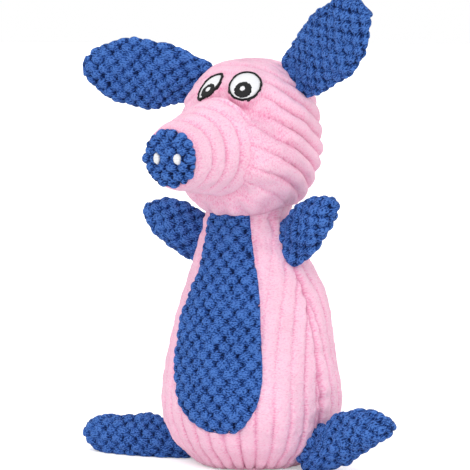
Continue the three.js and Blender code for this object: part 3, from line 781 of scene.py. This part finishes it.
def make_belly():
    """The tongue of bobble plush, let into the front of the body."""
    spacing = 0.72
    bottom, top = PANEL_LEFT[0][0], PANEL_LEFT[-1][0]
    neck = [[27.9, z] for z in np.arange(158.7, top, spacing)]
    side = np.vstack([curve_through(BODY_SIDE, spacing), neck])
    side = side[(side[:, 1] > bottom) & (side[:, 1] < top)]
    right, left = panel_edge(PANEL_RIGHT, side[:, 1]), panel_edge(PANEL_LEFT, side[:, 1])
    u = right[:, None] + (left - right)[:, None] * np.linspace(0, 1, 104)
    v = np.broadcast_to(run_along(side)[:, None], u.shape)
    turn = u / side[:, None, 0]
    way = np.stack([np.sin(turn), -np.cos(turn), 0 * turn], axis=-1)
    points = side[:, None, :1] * way
    points[..., 2] = side[:, None, 1]
    domes = bobble_domes(u, v, 21, cloth_mm("bobble_pitch"))
    # Its edge lies low and is tucked in at the seam
    inside = inside_panel(u, points[..., 2])
    tuck = smooth(inside, 0.75, 0.0)
    relief = cloth_mm("bobble_height") * (domes - 0.5) + 0.6 + 0.15 * tufts(points, 23)
    relief = (relief - 1.1 * smooth(inside, 3.6, 0.4)) * (1 - tuck) - 2.6 * tuck
    slope = np.gradient(side[:, 0]) / np.gradient(side[:, 1])
    normals = unit(way - slope[:, None, None] * np.array([0, 0, 1.0]))
    moved = points + lean_at(points[..., 2])
    front, back = moved + normals * relief[..., None], moved - normals * PANEL_THICKNESS
    # One closed skin: each ring runs over the front and returns along the back
    rings = np.concatenate([front, back[:, ::-1]], axis=1)
    # The pile value paints shade in the pits between bobbles and where the edge tucks into the seam, and the
    # hidden back is all in painted shade
    pile = np.concatenate([domes * (1 - 0.6 * tuck), 0 * domes], axis=1)
    places = np.stack([u, v, 0 * u], axis=-1)
    cloth = np.concatenate([places, places[:, ::-1] + [0, 0, 9]], axis=1)
    piece = closed_skin("belly_bobbles", rings, pile, cloth, "bobble_plush")
    dress(piece, "belly_panel", "body")


# Head


def head_radius(ways):
    """The head's form: a squarish ball that swells into the muzzle, flatter where the eyes are sewn."""
    plain = (np.abs(ways) / HEAD_HALVES) ** HEAD_SQUARENESS
    plain = plain.sum(-1) ** (-1 / HEAD_SQUARENESS)
    low = -ways[..., 2]
    reach = MUZZLE_LOWER + (MUZZLE_UPPER - MUZZLE_LOWER) * smooth(-low, -MUZZLE_BLEND, MUZZLE_BLEND)
    away = np.arccos(np.clip(ways @ MUZZLE_WAY, -1, 1))
    brows = np.maximum(ways @ way_to(22, 44), ways @ way_to(-16, 43))
    brow = smooth(np.arccos(np.clip(brows, -1, 1)), math.radians(34), math.radians(17))
    chin = 0.45 * smooth(low, 0.3, 0.62)
    swell = MUZZLE_SWELL * (1 - 0.85 * brow) * (1 - chin) * (1 - smooth(away, MUZZLE_FLAT, reach))
    return plain + swell + 0.4 * smooth(low, 0.66, 0.84)


def snout_place(points):
    """How far along the snout's line points are, how far out from it, and round it."""
    offset = points - SNOUT_ROOT
    along = offset @ SNOUT_WAY
    out = offset - along[..., None] * SNOUT_WAY
    return along, np.linalg.norm(out, axis=-1), np.arctan2(out[..., 0], out @ SNOUT_UP)


def snout_radius(along):
    """How far out the snout's sleeve lies at a distance along its line."""
    return SNOUT_FRONT + SNOUT_TAPER * (SNOUT_REACH - along)


def eye_frame(side):
    """An eye's ways outwards, up the cloth and off it. Side is 1 for the left eye, -1 for the right."""
    azimuth, elevation = EYES[side]["middle"]
    off = way_to(azimuth * side, elevation)
    turn = math.radians(azimuth * side)
    outwards = np.array([math.cos(turn), math.sin(turn), 0]) * side
    return outwards, np.cross(off, outwards) * side, off


def eye_nearness(points, side):
    """1 inside an eye's outline, falling to 0 a few millimetres outside it."""
    outwards, upwards, off = eye_frame(side)
    ray = unit(points - HEAD_CENTRE)
    flat = ray * (head_radius(off) / np.maximum(ray @ off, 0.2))[..., None]
    a, b = flat @ outwards, flat @ upwards
    tilt = math.radians(EYES[side]["tilt"])
    along = a * math.cos(tilt) + b * math.sin(tilt)
    across = -a * math.sin(tilt) + b * math.cos(tilt)
    half = EYES[side]["half"]
    return smooth(np.hypot(along / half[0], across / half[1]), 1.25, 1.0) * (ray @ off > 0.5)


def head_wales(ways):
    """Angle of each place from the line that the wales run round. Over the crown they run from ear to
    ear instead, and meet in the seam behind it."""
    sideways = np.sqrt(ways[..., 0] ** 2 + 0.01)
    axis = unit(np.array([WALE_SIDEWAYS, math.sin(WALE_TILT), math.cos(WALE_TILT)]))
    tilt = sideways * axis[0] + ways[..., 1] * axis[1] + ways[..., 2] * axis[2]
    rings = np.arccos(np.clip(tilt, -1, 1))
    over = np.arctan2(ways[..., 2], -ways[..., 1]) - (math.pi / 2 + WALE_TILT)
    over = np.abs(np.where(over < -math.pi, over + 2 * math.pi, over))
    share = smooth(ways[..., 2], 0.62, 0.9)
    return rings * (1 - share) + over * share


def make_head():
    """The head's cover, from the crown down to the socket that takes the neck's ball."""
    pitch = cloth_mm("wale_pitch")
    neck = np.array([0.0, 0.0, NECK_HEIGHT])
    down = unit(neck - HEAD_CENTRE)
    aside = np.array([1.0, 0, 0])
    columns, rows = 330, 190
    around = full_turn(columns)
    level = np.cos(around)[:, None] * aside + np.sin(around)[:, None] * np.cross(down, aside)
    # The lip of the neck's socket, where the head's form leaves the ball of the neck, found by halving
    ball = NECK_RADIUS + 0.9
    lip, free = np.full(columns, math.radians(20)), np.full(columns, math.radians(60))
    for _ in range(24):
        middle = (lip + free) / 2
        ways = np.cos(middle)[:, None] * down + np.sin(middle)[:, None] * level
        at = HEAD_CENTRE + ways * head_radius(ways)[:, None]
        clear = np.linalg.norm(at - neck, axis=-1) > ball + 0.5
        lip, free = np.where(clear, lip, middle), np.where(clear, middle, free)
    share = np.linspace(0, 1, rows + 1)[:-1, None]
    polar = free + (math.pi - free) * share
    ways = np.cos(polar)[..., None] * down + np.sin(polar)[..., None] * level
    points = HEAD_CENTRE + ways * head_radius(ways)[..., None]
    normals = outward_normals(points, ways)
    across = (head_wales(ways) - WALE_FIRST) / WALE_TURN * pitch + 0.7 * lumps(points, 60, 31)
    side = smooth(np.abs(ways[..., 0]), 0.45, 0.8)
    ridge = wale_ridge(across, pitch, 3.6 - 1.5 * side)
    eyes = np.maximum(eye_nearness(points, 1), eye_nearness(points, -1))
    along, out, clock = snout_place(points)
    gap = out - snout_radius(along)
    ahead = smooth(along, 14, 26)
    near_snout = ahead * smooth(gap, 20, 3)
    strength = (0.72 + 1.25 * side) * (1 - 0.35 * near_snout)
    soft = 0.5 * lumps(points, 28, 33) + 0.2 * lumps(points, 13, 34)
    relief = cloth_mm("wale_height") * strength * (ridge - 0.72) + soft + 0.15 * tufts(points, 35)
    # The snout's seam draws the cheeks in, with puckers that run out from it
    pucker = np.sin(clock * 17 + 1.2 * lumps(points, 24, 37))
    seam = ahead * hump(gap, 6.5)
    relief += near_snout * 0.45 * pucker
    relief -= 5.2 * seam
    # Gathers under the chin, round the neck's seam
    low = smooth(-ways[..., 2], 0.5, 0.75)
    fold = np.sin(around[None] * 15 + 1.2 * lumps(points, 26, 39))
    relief = relief * (1 - 0.5 * low) + low * 0.85 * fold
    # Ears are sewn in behind a tuck
    for name in ("ear_left", "ear_right"):
        origin, hinge, *_ = leaf_frame(name)
        offset = points - origin
        run = np.clip(offset @ hinge, -14, 14)
        relief -= 1.6 * hump(np.linalg.norm(offset - run[..., None] * hinge, axis=-1), 5.5)
    relief = relief * (1 - eyes) - 0.3 * eyes
    # The filling swells the cloth between the seams and the stitched eyes
    held = np.maximum(hump(gap, 5), gap < 0) * ahead
    held = np.maximum(np.maximum(held, eyes), smooth(share, 0.05, 0.01))
    relief += filled(points, held) * (1 - eyes)
    moved = points + normals * (relief * smooth(share, 0, 0.035))[..., None]
    # The pile value paints shade: in the grooves, fainter under the chin, in the troughs of the puckers by the
    # snout, along its seam, in the gathers under the chin and towards the socket's lip
    soft_ridge = 1 - (1 - ridge) * (1 - 0.55 * low) * 0.62
    pile = soft_ridge * (1 - 0.12 * near_snout * (1 - pucker)) * (1 - 0.3 * seam)
    pile = np.clip(pile * (1 - 0.1 * low * (1 - fold)) * (0.5 + 0.5 * smooth(share, 0, 0.03)), 0, 1)
    cloth = np.stack([across, around[None] * 45 + 0 * across, points[..., 2]], axis=-1)
    # The socket itself, from its top out to the lip
    edge = unit(moved[0] - neck)
    steps = np.linspace(0, 1, 26)[1:-1, None, None]
    socket = neck + ball * unit((1 - steps) * -down + steps * edge[None])
    moved = np.concatenate([socket, moved])
    # Painted shade inside the socket
    pile = np.concatenate([np.full(socket.shape[:2], 0.3), pile])
    cloth = np.concatenate([socket, cloth])
    ends = neck - ball * down, moved[-1].mean(0)
    piece = closed_skin("head_plush", moved, pile, cloth, "wide_wale_plush", ends)
    dress(piece, "head_cover", "head")


def make_snout():
    """The sleeve of the snout. Its wales run round it as rings, each lapping a little over the next."""
    along = np.arange(SNOUT_START, SNOUT_REACH - 1.0, 0.6)
    place = (SNOUT_REACH - 0.6 - along) / SNOUT_WALE
    lap = place - np.floor(place)
    ridge = (1 - np.abs(2 * lap - 1) ** 3.4) ** 0.7 * (0.86 + 0.28 * lap)
    out = snout_radius(along) + 2.4 * (ridge - 0.66)
    fade = smooth(along, SNOUT_START, SNOUT_START + 4)
    out = out * fade + (snout_radius(along) - 3.0) * (1 - fade)
    # The lip turns in over the nose's edge
    lip = [(-1.0, out[-1]), (0.6, SNOUT_FRONT - 0.4), (0.4, 15.5), (-0.8, 12.0)]
    lip = curve_through([(SNOUT_REACH + ahead, radius) for ahead, radius in lip], 0.9)[1:]
    outline = np.vstack([np.stack([along, out], axis=1), lip])
    # The rings' pile value paints shade in their grooves
    heights = np.concatenate([ridge, np.full(len(lip), 0.5)])
    points, angle = rings_round(outline, 230, SNOUT_ROOT, SNOUT_WAY, SNOUT_UP)
    normals = outward_normals(points, points - SNOUT_ROOT - outline[:, None, :1] * SNOUT_WAY)
    soft = 0.4 * lumps(points, 24, 41) + 0.15 * lumps(points, 9, 42) + 0.15 * tufts(points, 43)
    moved = points + normals * soft[..., None]
    pile = np.broadcast_to(np.clip(heights, 0, 1)[:, None], angle.shape)
    run = np.broadcast_to(run_along(outline)[:, None], angle.shape)
    cloth = np.stack([run, angle * 23, snout_place(points)[2]], axis=-1)
    piece = closed_skin("snout_plush", moved, pile, cloth, "wide_wale_plush")
    dress(piece, "snout_cover", "head")


def nose_front(out):
    """How far the nose's face stands along the snout's line at a distance from its middle."""
    return SNOUT_REACH + 4.0 + 2.6 * (1 - (out / NOSE_RADIUS) ** 2)


def make_nose():
    """The round of bobble plush that closes the snout, domed a little and pressed in at the nostrils."""
    out = np.arange(0.6, NOSE_RADIUS - 1.6, 0.6)
    face = np.stack([nose_front(out), out], axis=1)
    rim = ((3.4, 0.4), (1.6, 0), (0.2, 1.6))
    rim = [(SNOUT_REACH + ahead, NOSE_RADIUS - less) for ahead, less in rim]
    edge = curve_through([face[-1], *rim], 0.6)[1:]
    back = [(SNOUT_REACH + 0.2, radius) for radius in (9.0, 1.0)]
    outline = np.vstack([face, edge, back])
    points, angle = rings_round(outline, 170, SNOUT_ROOT, SNOUT_WAY, SNOUT_UP)
    offset = points - SNOUT_ROOT
    u, v = offset[..., 0], offset @ SNOUT_UP
    domes = bobble_domes(u + 1.2, v + 0.6, 51, pitch=8.0, row=5.0, radius=4.0)
    nostrils = nostril_nearness(points)
    shown = np.ones(points.shape[:2])
    shown[-len(back) :] = 0
    relief = shown * (cloth_mm("bobble_height") * (domes - 0.55) + 0.15 * tufts(points, 53))
    relief = relief * (1 - nostrils) - 1.2 * nostrils
    moved = points + outward_normals(points, shown[..., None] * SNOUT_WAY) * relief[..., None]
    cloth = np.stack([u, v, angle], axis=-1)
    # The bobbles serve as the pile value, which paints shade in the pits between them
    piece = closed_skin("nose_bobbles", moved, domes, cloth, "bobble_plush")
    dress(piece, "nose_disc", "head")


def nostril_nearness(points):
    """1 inside a nostril's outline, falling to 0 a little outside it."""
    offset = points - SNOUT_ROOT
    u, v = np.abs(offset[..., 0]) - NOSTRIL_APART / 2, offset @ SNOUT_UP
    return smooth(np.hypot(u / NOSTRIL_HALF[0], v / NOSTRIL_HALF[1]), 1.5, 1.0)


# Threads of the face


def oval(half, centre, tilt, point, wobble, seed, count=132):
    """An oval outline, drawn out to a point at its ends, its edge uneven from stitch to stitch."""
    angle = full_turn(count)
    rng = np.random.default_rng(seed)
    stitch = np.repeat(rng.normal(size=count // 4 + 1), 4)[:count] * wobble
    a = (half[0] + stitch) * np.cos(angle)
    b = (half[1] + stitch) * np.sin(angle) * np.abs(np.sin(angle)) ** point
    x = a * math.cos(tilt) - b * math.sin(tilt) + centre[0]
    y = a * math.sin(tilt) + b * math.cos(tilt) + centre[1]
    return np.stack([x, y], axis=1)


def on_head(places, side, lift):
    """Lays flat places of an eye on the head, at a height above its form."""
    outwards, upwards, off = eye_frame(side)
    ray = unit(off * head_radius(off) + places[..., :1] * outwards + places[..., 1:] * upwards)
    return HEAD_CENTRE + ray * (head_radius(ray) + lift)[..., None]


def on_nose(places, side, lift):
    """Lays flat places of a nostril on the nose, at a height above its form."""
    u, v = places[..., 0] * side, places[..., 1]
    along = nose_front(np.hypot(u, v)) + lift - 1.0
    point = SNOUT_ROOT + along[..., None] * SNOUT_WAY
    return point + u[..., None] * np.array([1.0, 0, 0]) + v[..., None] * SNOUT_UP


def shrunk(outline, centre):
    """The same outline, so small that a patch of stitches can start there."""
    return 0.02 * outline + 0.98 * np.array(centre)


def stitched_patch(node, inner, outer, rise, seat, lay, side, finish, is_ring=False):
    """A pad of satin stitch between two outlines, crowned, and closed at its back. A ring's threads run
    from its inner to its outer edge, and any other patch's threads lie side by side."""
    share = np.linspace(0, 1, 7)[:, None, None]
    flat = inner[None] * (1 - share) + outer[None] * share
    fall = (2 * share[..., 0] - 1) ** 2 if is_ring else share[..., 0] ** 6
    lift = seat + rise * np.sqrt(np.clip(1 - fall, 0, 1)) * np.ones(flat.shape[:2])
    back = flat[[-1, 0]]
    rings = np.concatenate([lay(flat, side, lift), lay(back, side, np.full(back.shape[:2], seat - 1.0))])
    pile = np.ones(rings.shape[:2])
    name = node + "_stitches"
    if is_ring:
        angle = full_turn(len(outer))
        across = np.concatenate([share, share[[-1, 0]]])[..., 0] + 0 * angle
        around = np.broadcast_to(angle * np.hypot(*outer.T).mean(), across.shape)
        cloth = np.stack([across, around, 0 * across], axis=-1)
        faces = ring_faces(rings, rows_too=True)
        piece = add_mesh(name, rings.reshape(-1, 3), faces, pile.ravel(), cloth.reshape(-1, 3), finish)
    else:
        both = np.concatenate([flat, back])
        cloth = np.concatenate([both, 0 * both[..., :1]], axis=-1)
        piece = closed_skin(name, rings, pile, cloth, finish)
    dress(piece, node, body="head")


def make_eye(side, name):
    """An eye's four patches, one over the other."""
    eye = EYES[side]
    half, tilt, point = eye["half"], math.radians(eye["tilt"]), eye["point"]
    line = (half[0] - EYE_LINE * (1 + point), half[1] - EYE_LINE)
    rim = oval(half, (0, 0), tilt, point, 0.26, 61 + side)
    inner = oval(line, (0, 0), tilt, point, 0.12, 63 + side)
    ball = oval((line[0] + 0.4, line[1] + 0.4), (0, 0), tilt, point, 0, 65)
    pupil = oval(eye["pupil"], PUPIL_CENTRE, tilt, 0, 0.16, 67 + side)
    glint = oval(GLINT_HALF, GLINT_CENTRE, tilt, 0, 0.12, 69)
    # Each patch: where it starts and ends, how high it is crowned and how high it sits
    patches = [
        ("outline", inner, rim, 0.75, 0.3, "black_satin_thread"),
        ("white", shrunk(ball, (0, 0)), ball, 0.4, 0.15, "white_satin_thread"),
        ("pupil", shrunk(glint, PUPIL_CENTRE), pupil, 0.4, 0.55, "black_satin_thread"),
        ("glint", shrunk(glint, GLINT_CENTRE), glint, 0.35, 0.9, "white_satin_thread"),
    ]
    for part, start, end, rise, seat, finish in patches:
        node = f"eye_{part}_{name}"
        stitched_patch(node, start, end, rise, seat, on_head, side, finish, part == "outline")


def make_nostril(side, name):
    """One nostril, a single high patch."""
    rim = oval(NOSTRIL_HALF, (NOSTRIL_APART / 2, 0), 0, 0, 0.18, 71 + side, count=64)
    start = shrunk(rim, rim.mean(0))
    stitched_patch(f"nostril_{name}", start, rim, 1.3, 0.2, on_nose, side, "white_satin_thread")


# Leaves: ears, arms and feet


def shares_along(shares, t):
    """A smooth run through a leaf's shares, from its root to its tip."""
    places = np.linspace(0, 1, len(shares))
    line = curve_through(np.stack([places, shares], axis=1), 0.004)
    value = np.interp(t, line[:, 0], line[:, 1])
    last = places[-2]
    end = shares[-2] * np.sqrt(np.clip(1 - ((t - last) / (1 - last)) ** 2, 0, 1))
    return np.where(t > last, end, np.maximum(value, 0))


def leaf_frame(name):
    """A leaf's hinge and the ways that it points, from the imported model's own joint."""
    joint = next(j for j in frame["joints"] if j["name"] == name + "_flap")
    sweep, lift = LEAF_WAYS[name]
    reach = way_to(sweep if name.endswith("left") else -sweep, lift)
    along = unit(np.array(joint["axis"], float))
    face = unit(np.cross(along, reach))
    outward = unit(np.cross(face, along))
    across = -unit(np.cross(face, reach))
    return np.array(joint["pos_m"], float) / MM, along, face, outward, reach, across


def make_leaf(name, node, seed, plunge):
    """A leaf of bobble plush. Its root goes on into the seam by plunge."""
    shape = LEAVES[name]
    length, half, depth, root = shape["size"]
    origin, along, face, outward, reach, across = leaf_frame(name)
    run = np.arange(0, length * 0.985, 0.68)
    # The shares are given closer together towards the tip
    t = 1 - (1 - run / length) ** (1 / 1.6)
    # Behind the hinge it narrows into the seam, and past it its rows turn from the seam to the leaf
    behind = np.arange(root + plunge, 0.4, -0.9)
    taper = 1 - 0.2 * smooth(behind, 0, root + plunge)
    sizes = {"above": half, "below": half, "depths": depth}
    shares = (most * shares_along(shape[key], t) for key, most in sizes.items())
    above, below, depths = (np.concatenate([s[0] * taper, s])[:, None] for s in shares)
    turn = smooth(run / length, 0, 0.45)[:, None]
    rows = np.vstack([0 * behind[:, None] + along, unit((1 - turn) * along + turn * across)])
    centres = np.vstack([origin - behind[:, None] * outward, origin + run[:, None] * reach])
    place = np.concatenate([-behind, run])
    # More points round the thin edges
    angle = full_turn(int(round(4.2 * (half + 3) / 0.72 / 2)) * 2)
    angle = angle - 0.3 * np.sin(2 * angle)
    level, off = np.cos(angle), np.sin(angle)
    widths = np.where(level > 0, above, below) * level
    rings = centres[:, None] + widths[..., None] * rows[:, None] + depths[..., None] * off[:, None] * face
    u = np.broadcast_to(place[:, None], widths.shape)
    v = widths + 0.35 * depths * level**3
    # The bobbles of its two sides don't match up
    back = off[None] < 0
    shift_u, shift_v = np.where(back, 3.1, 0), np.where(back, 1.7, 0.4)
    domes = bobble_domes(u + shift_u, v + shift_v, seed, cloth_mm("bobble_pitch"))
    soft = 0.6 * lumps(rings, 24, seed + 5)
    relief = cloth_mm("bobble_height") * (domes - 0.55) + soft + 0.15 * tufts(rings, seed + 6)
    shown = smooth(place, -root - plunge, -root - plunge + 3)[:, None]
    relief = relief * shown - 0.5 * (1 - shown)
    moved = rings + outward_normals(rings, unit(rings - centres[:, None])) * relief[..., None]
    end = origin + reach * (length + 0.5)
    # A foot rests flat on the floor
    if moved[..., 2].min() < 20:
        moved[..., 2] = np.maximum(moved[..., 2], 0.35)
        end[2] = max(end[2], 0.35)
    cloth = np.stack([u, v, np.where(back, 9.0, 0) + 0 * v], axis=-1)
    # The bobbles serve as the pile value, which paints shade in the pits between them
    pile, ends = np.clip(domes, 0, 1), (moved[0].mean(0), end)
    piece = closed_skin(name + "_bobbles", moved, pile, cloth, "bobble_plush", ends)
    dress(piece, node)
    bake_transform(piece)


# Filling and squeaker


def free_copy(node, name):
    """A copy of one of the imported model's solids, to be worked on."""
    solid = frame["nodes"][node]
    copy = solid.copy()
    copy.data = solid.data.copy()
    copy.name = name
    for key in list(copy.keys()):
        del copy[key]
    copy.parent = None
    bpy.context.scene.collection.objects.link(copy)
    return copy


def make_filling(node):
    """A wad of loose fibre, rounder and more uneven than the solid that stands for it."""
    wad = free_copy(node, node + "_fibre")
    select_only(wad)
    weld = wad.modifiers.new("Weld", "WELD")
    weld.merge_threshold = 0.00001
    cells = wad.modifiers.new("Cells", "REMESH")
    cells.mode = "VOXEL"
    cells.voxel_size = FIBRE_CELL
    for modifier in (weld, cells):
        bpy.ops.object.modifier_apply(modifier=modifier.name)
    # Drawn in under its cover, unevenly
    co = vertex_places(wad.data)
    normals = np.zeros(co.size)
    wad.data.vertex_normals.foreach_get("vector", normals)
    co += normals.reshape(-1, 3) * (0.5 * lumps(co, 11, 81) - FIBRE_INSET)[:, None]
    part = node.removesuffix("_filling")
    if part in FOOT_LIFTS:
        middle = co.mean(0)
        co = middle + (co - middle) * 0.9 + leaf_frame(part)[5] * FOOT_LIFTS[part]
    if part == "snout":
        # The sleeve is drawn down at its root
        co[:, 2] -= np.interp(-co[:, 1], [30, 95], [5.5, 0])
    if part == "head":
        # It draws back where the snout's seam and the chin pull the head's cloth in
        along, out, _ = snout_place(co)
        valley = 4.6 * smooth(along, 10, 24) * hump(out - snout_radius(along), 9)
        ray = unit(co - HEAD_CENTRE)
        limit = head_radius(ray) - FIBRE_UNDER_HEAD - valley - 5.5 * smooth(-ray[:, 2], 0.5, 0.75)
        reach = np.minimum(np.linalg.norm(co - HEAD_CENTRE, axis=-1), limit)
        co = HEAD_CENTRE + ray * reach[:, None]
    wad.data.vertices.foreach_set("co", (co * MM).ravel())
    wad.data.materials.clear()
    wad.data.materials.append(finish_named("crimped_fibre"))
    wad.data.polygons.foreach_set("use_smooth", [True] * len(wad.data.polygons))
    wad.data.update()
    wad.select_set(False)
    dress(wad, node, body_of_node(node))


def make_folding_wall():
    """A copy of the squeaker's wall, with a mesh of its own. The real wall folds flatter when the squeaker is
    pressed.
    """
    wall = free_copy("squeaker_folding_wall", "squeaker_bellows")
    dress(wall, "squeaker_folding_wall", body="body")
    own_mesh(wall)


def body_of_node(node):
    """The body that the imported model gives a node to."""
    return next(b for b, nodes in frame["record"]["behaviour"]["bodies"].items() if node in nodes)


# Stage


def lit_background(tree, plain, seen):
    """Mixes two shaders: one for light on the toy, one for what the camera and reflections see."""
    path = add_node(tree, "LightPath")
    either = path, "Is Camera Ray"
    for kind in ("Is Glossy Ray", "Is Transmission Ray"):
        larger = add_node(tree, "Math", {"operation": "MAXIMUM"}, _0=either, _1=(path, kind))
        either = larger, 0
    return add_node(tree, "MixShader", {}, _0=either, _1=(plain, 0), _2=(seen, 0))


def aimed(name, data, way, distance):
    """Puts a lamp or the camera into the scene, at a distance along a way, pointed at the toy."""
    holder = bpy.data.objects.new(name, data)
    holder.location = AIM + Vector(way) * distance
    holder.rotation_euler = Vector(way).to_track_quat("Z", "Y").to_euler()
    bpy.context.scene.collection.objects.link(holder)
    return holder


def make_stage():
    """The white studio floor and backdrop, and its two lamps."""
    bpy.ops.mesh.primitive_plane_add(size=60, location=(0, 0, 0))
    floor = bpy.context.object
    floor.name = "studio_floor"
    floor.select_set(False)
    material, tree = new_material("white_studio_paper")
    # Matt white paper. To the camera it is a little brighter, so that it meets the backdrop unseen
    paper = add_node(tree, "BsdfDiffuse", {"Color": linear("#fbfbfb"), "Roughness": 0.5})
    glow = add_node(tree, "Emission", {"Color": (1, 1, 1, 1), "Strength": 0.3})
    both = add_node(tree, "AddShader", {}, _0=(paper, 0), _1=(glow, 0))
    add_node(tree, "OutputMaterial", {}, Surface=(lit_background(tree, paper, both), 0))
    floor.data.materials.append(material)

    world = bpy.data.worlds.new("studio")
    bpy.context.scene.world = world
    world.use_nodes = True
    tree = world.node_tree
    tree.nodes.clear()
    # The backdrop lights the toy a little less than it shows
    plain, white = (
        add_node(tree, "Background", {"Color": (1, 1, 1, 1), "Strength": strength})
        for strength in (0.88, 1.0)
    )
    add_node(tree, "OutputWorld", {}, Surface=(lit_background(tree, plain, white), 0))

    # Two broad soft suns, which light the toy and the floor evenly from any distance
    for name, azimuth, elevation, breadth, power in (
        ("key", 14, 46, 60, 0.92),
        ("fill", 52, 6, 60, 0.62),
    ):
        lamp = bpy.data.lights.new(name, "SUN")
        lamp.angle = math.radians(breadth)
        lamp.energy = power
        aimed(name, lamp, way_to(azimuth, elevation), 2)
    bpy.context.scene.view_settings.view_transform = "Standard"


def make_camera():
    """The photograph's camera, 1.5 m off, whose frame lies where the photograph's does."""
    distance = 1.5
    camera = bpy.data.cameras.new("camera")
    camera.sensor_width = 36
    camera.lens = distance / (MM_PER_PX * MM) / FRAME_PX * camera.sensor_width
    camera.shift_x = (FRAME_PX / 2 - AIM_SEEN_AT[0]) / FRAME_PX
    camera.shift_y = (AIM_SEEN_AT[1] - FRAME_PX / 2) / FRAME_PX
    bpy.context.scene.camera = aimed("camera", camera, way_to(30, 5), distance)


# Operators


class PIG_OT_body(bpy.types.Operator):
    """Sews the body's pink plush and the round that it stands on"""

    bl_idname = "pig.body"
    bl_label = "Body"

    def execute(self, context):
        make_body()
        make_base()
        return {"FINISHED"}


class PIG_OT_belly(bpy.types.Operator):
    """Lets the panel of bobble plush into the belly"""

    bl_idname = "pig.belly"
    bl_label = "Belly panel"

    def execute(self, context):
        make_belly()
        return {"FINISHED"}


class PIG_OT_head(bpy.types.Operator):
    """Sews the head's pink plush"""

    bl_idname = "pig.head"
    bl_label = "Head"

    def execute(self, context):
        make_head()
        return {"FINISHED"}


class PIG_OT_snout(bpy.types.Operator):
    """Sews the ringed snout and its nose of bobble plush"""

    bl_idname = "pig.snout"
    bl_label = "Snout and nose"

    def execute(self, context):
        make_snout()
        make_nose()
        return {"FINISHED"}


class PIG_OT_face(bpy.types.Operator):
    """Stitches the eyes and the nostrils"""

    bl_idname = "pig.face"
    bl_label = "Eyes and nostrils"

    def execute(self, context):
        for side, name in ((1, "left"), (-1, "right")):
            make_eye(side, name)
            make_nostril(side, name)
        return {"FINISHED"}


class PIG_OT_ears(bpy.types.Operator):
    """Sews the two ears of double bobble plush"""

    bl_idname = "pig.ears"
    bl_label = "Ears"

    def execute(self, context):
        for name, seed, plunge in (("ear_left", 101, 6.0), ("ear_right", 111, 5.0)):
            make_leaf(name, name, seed, plunge)
        return {"FINISHED"}


class PIG_OT_limbs(bpy.types.Operator):
    """Sews the filled arms and feet of bobble plush"""

    bl_idname = "pig.limbs"
    bl_label = "Arms and feet"

    def execute(self, context):
        for name, seed, plunge in (
            ("arm_left", 121, 5.0), ("arm_right", 131, 5.0),
            ("foot_left", 141, 7.0), ("foot_right", 151, 7.0),
        ):
            make_leaf(name, name + "_cover", seed, plunge)
        return {"FINISHED"}


class PIG_OT_filling(bpy.types.Operator):
    """Fills every cover with loose fibre"""

    bl_idname = "pig.filling"
    bl_label = "Filling"

    def execute(self, context):
        for node in sorted(frame["nodes"]):
            if "filling" in node:
                make_filling(node)
        return {"FINISHED"}


class PIG_OT_squeaker(bpy.types.Operator):
    """Gives the squeaker's mouldings their plastic"""

    bl_idname = "pig.squeaker"
    bl_label = "Squeaker"

    def execute(self, context):
        for node, solid in frame["nodes"].items():
            if node.startswith(("squeaker", "whistle")):
                solid.data.materials.clear()
                solid.data.materials.append(finish_named("soft_polyethylene"))
        make_folding_wall()
        return {"FINISHED"}


class PIG_OT_stage(bpy.types.Operator):
    """Sets up the white floor, the soft light and the camera"""

    bl_idname = "pig.stage"
    bl_label = "Stage"

    def execute(self, context):
        make_stage()
        make_camera()
        return {"FINISHED"}


OPERATORS = (
    PIG_OT_body,
    PIG_OT_belly,
    PIG_OT_head,
    PIG_OT_snout,
    PIG_OT_face,
    PIG_OT_ears,
    PIG_OT_limbs,
    PIG_OT_filling,
    PIG_OT_squeaker,
    PIG_OT_stage,
)


class PIG_PT_panel(bpy.types.Panel):
    """Lists the toy's pieces and sizes"""

    bl_idname = "PIG_PT_panel"
    bl_label = "Stuffed pig"
    bl_space_type = "VIEW_3D"
    bl_region_type = "UI"
    bl_category = "Pig"

    def draw(self, context):
        for group in (context.scene.pig_cloth, context.scene.pig_colours):
            for key in group.__annotations__:
                self.layout.prop(group, key)
        for operator in OPERATORS:
            self.layout.operator(operator.bl_idname)


CLASSES = (PigColours, PigCloth, *OPERATORS, PIG_PT_panel)


def register():
    for item in CLASSES:
        bpy.utils.register_class(item)
    bpy.types.Scene.pig_colours = PointerProperty(type=PigColours)
    bpy.types.Scene.pig_cloth = PointerProperty(type=PigCloth)


def unregister():
    del bpy.types.Scene.pig_cloth
    del bpy.types.Scene.pig_colours
    for item in reversed(CLASSES):
        bpy.utils.unregister_class(item)


def main():
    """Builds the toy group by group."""
    register()
    bpy.ops.object.select_all(action="DESELECT")
    for operator in OPERATORS:
        group, name = operator.bl_idname.split(".")
        if getattr(getattr(bpy.ops, group), name)() != {"FINISHED"}:
            raise RuntimeError(operator.bl_label + " wasn't finished")


if __name__ == "__main__":
    main()
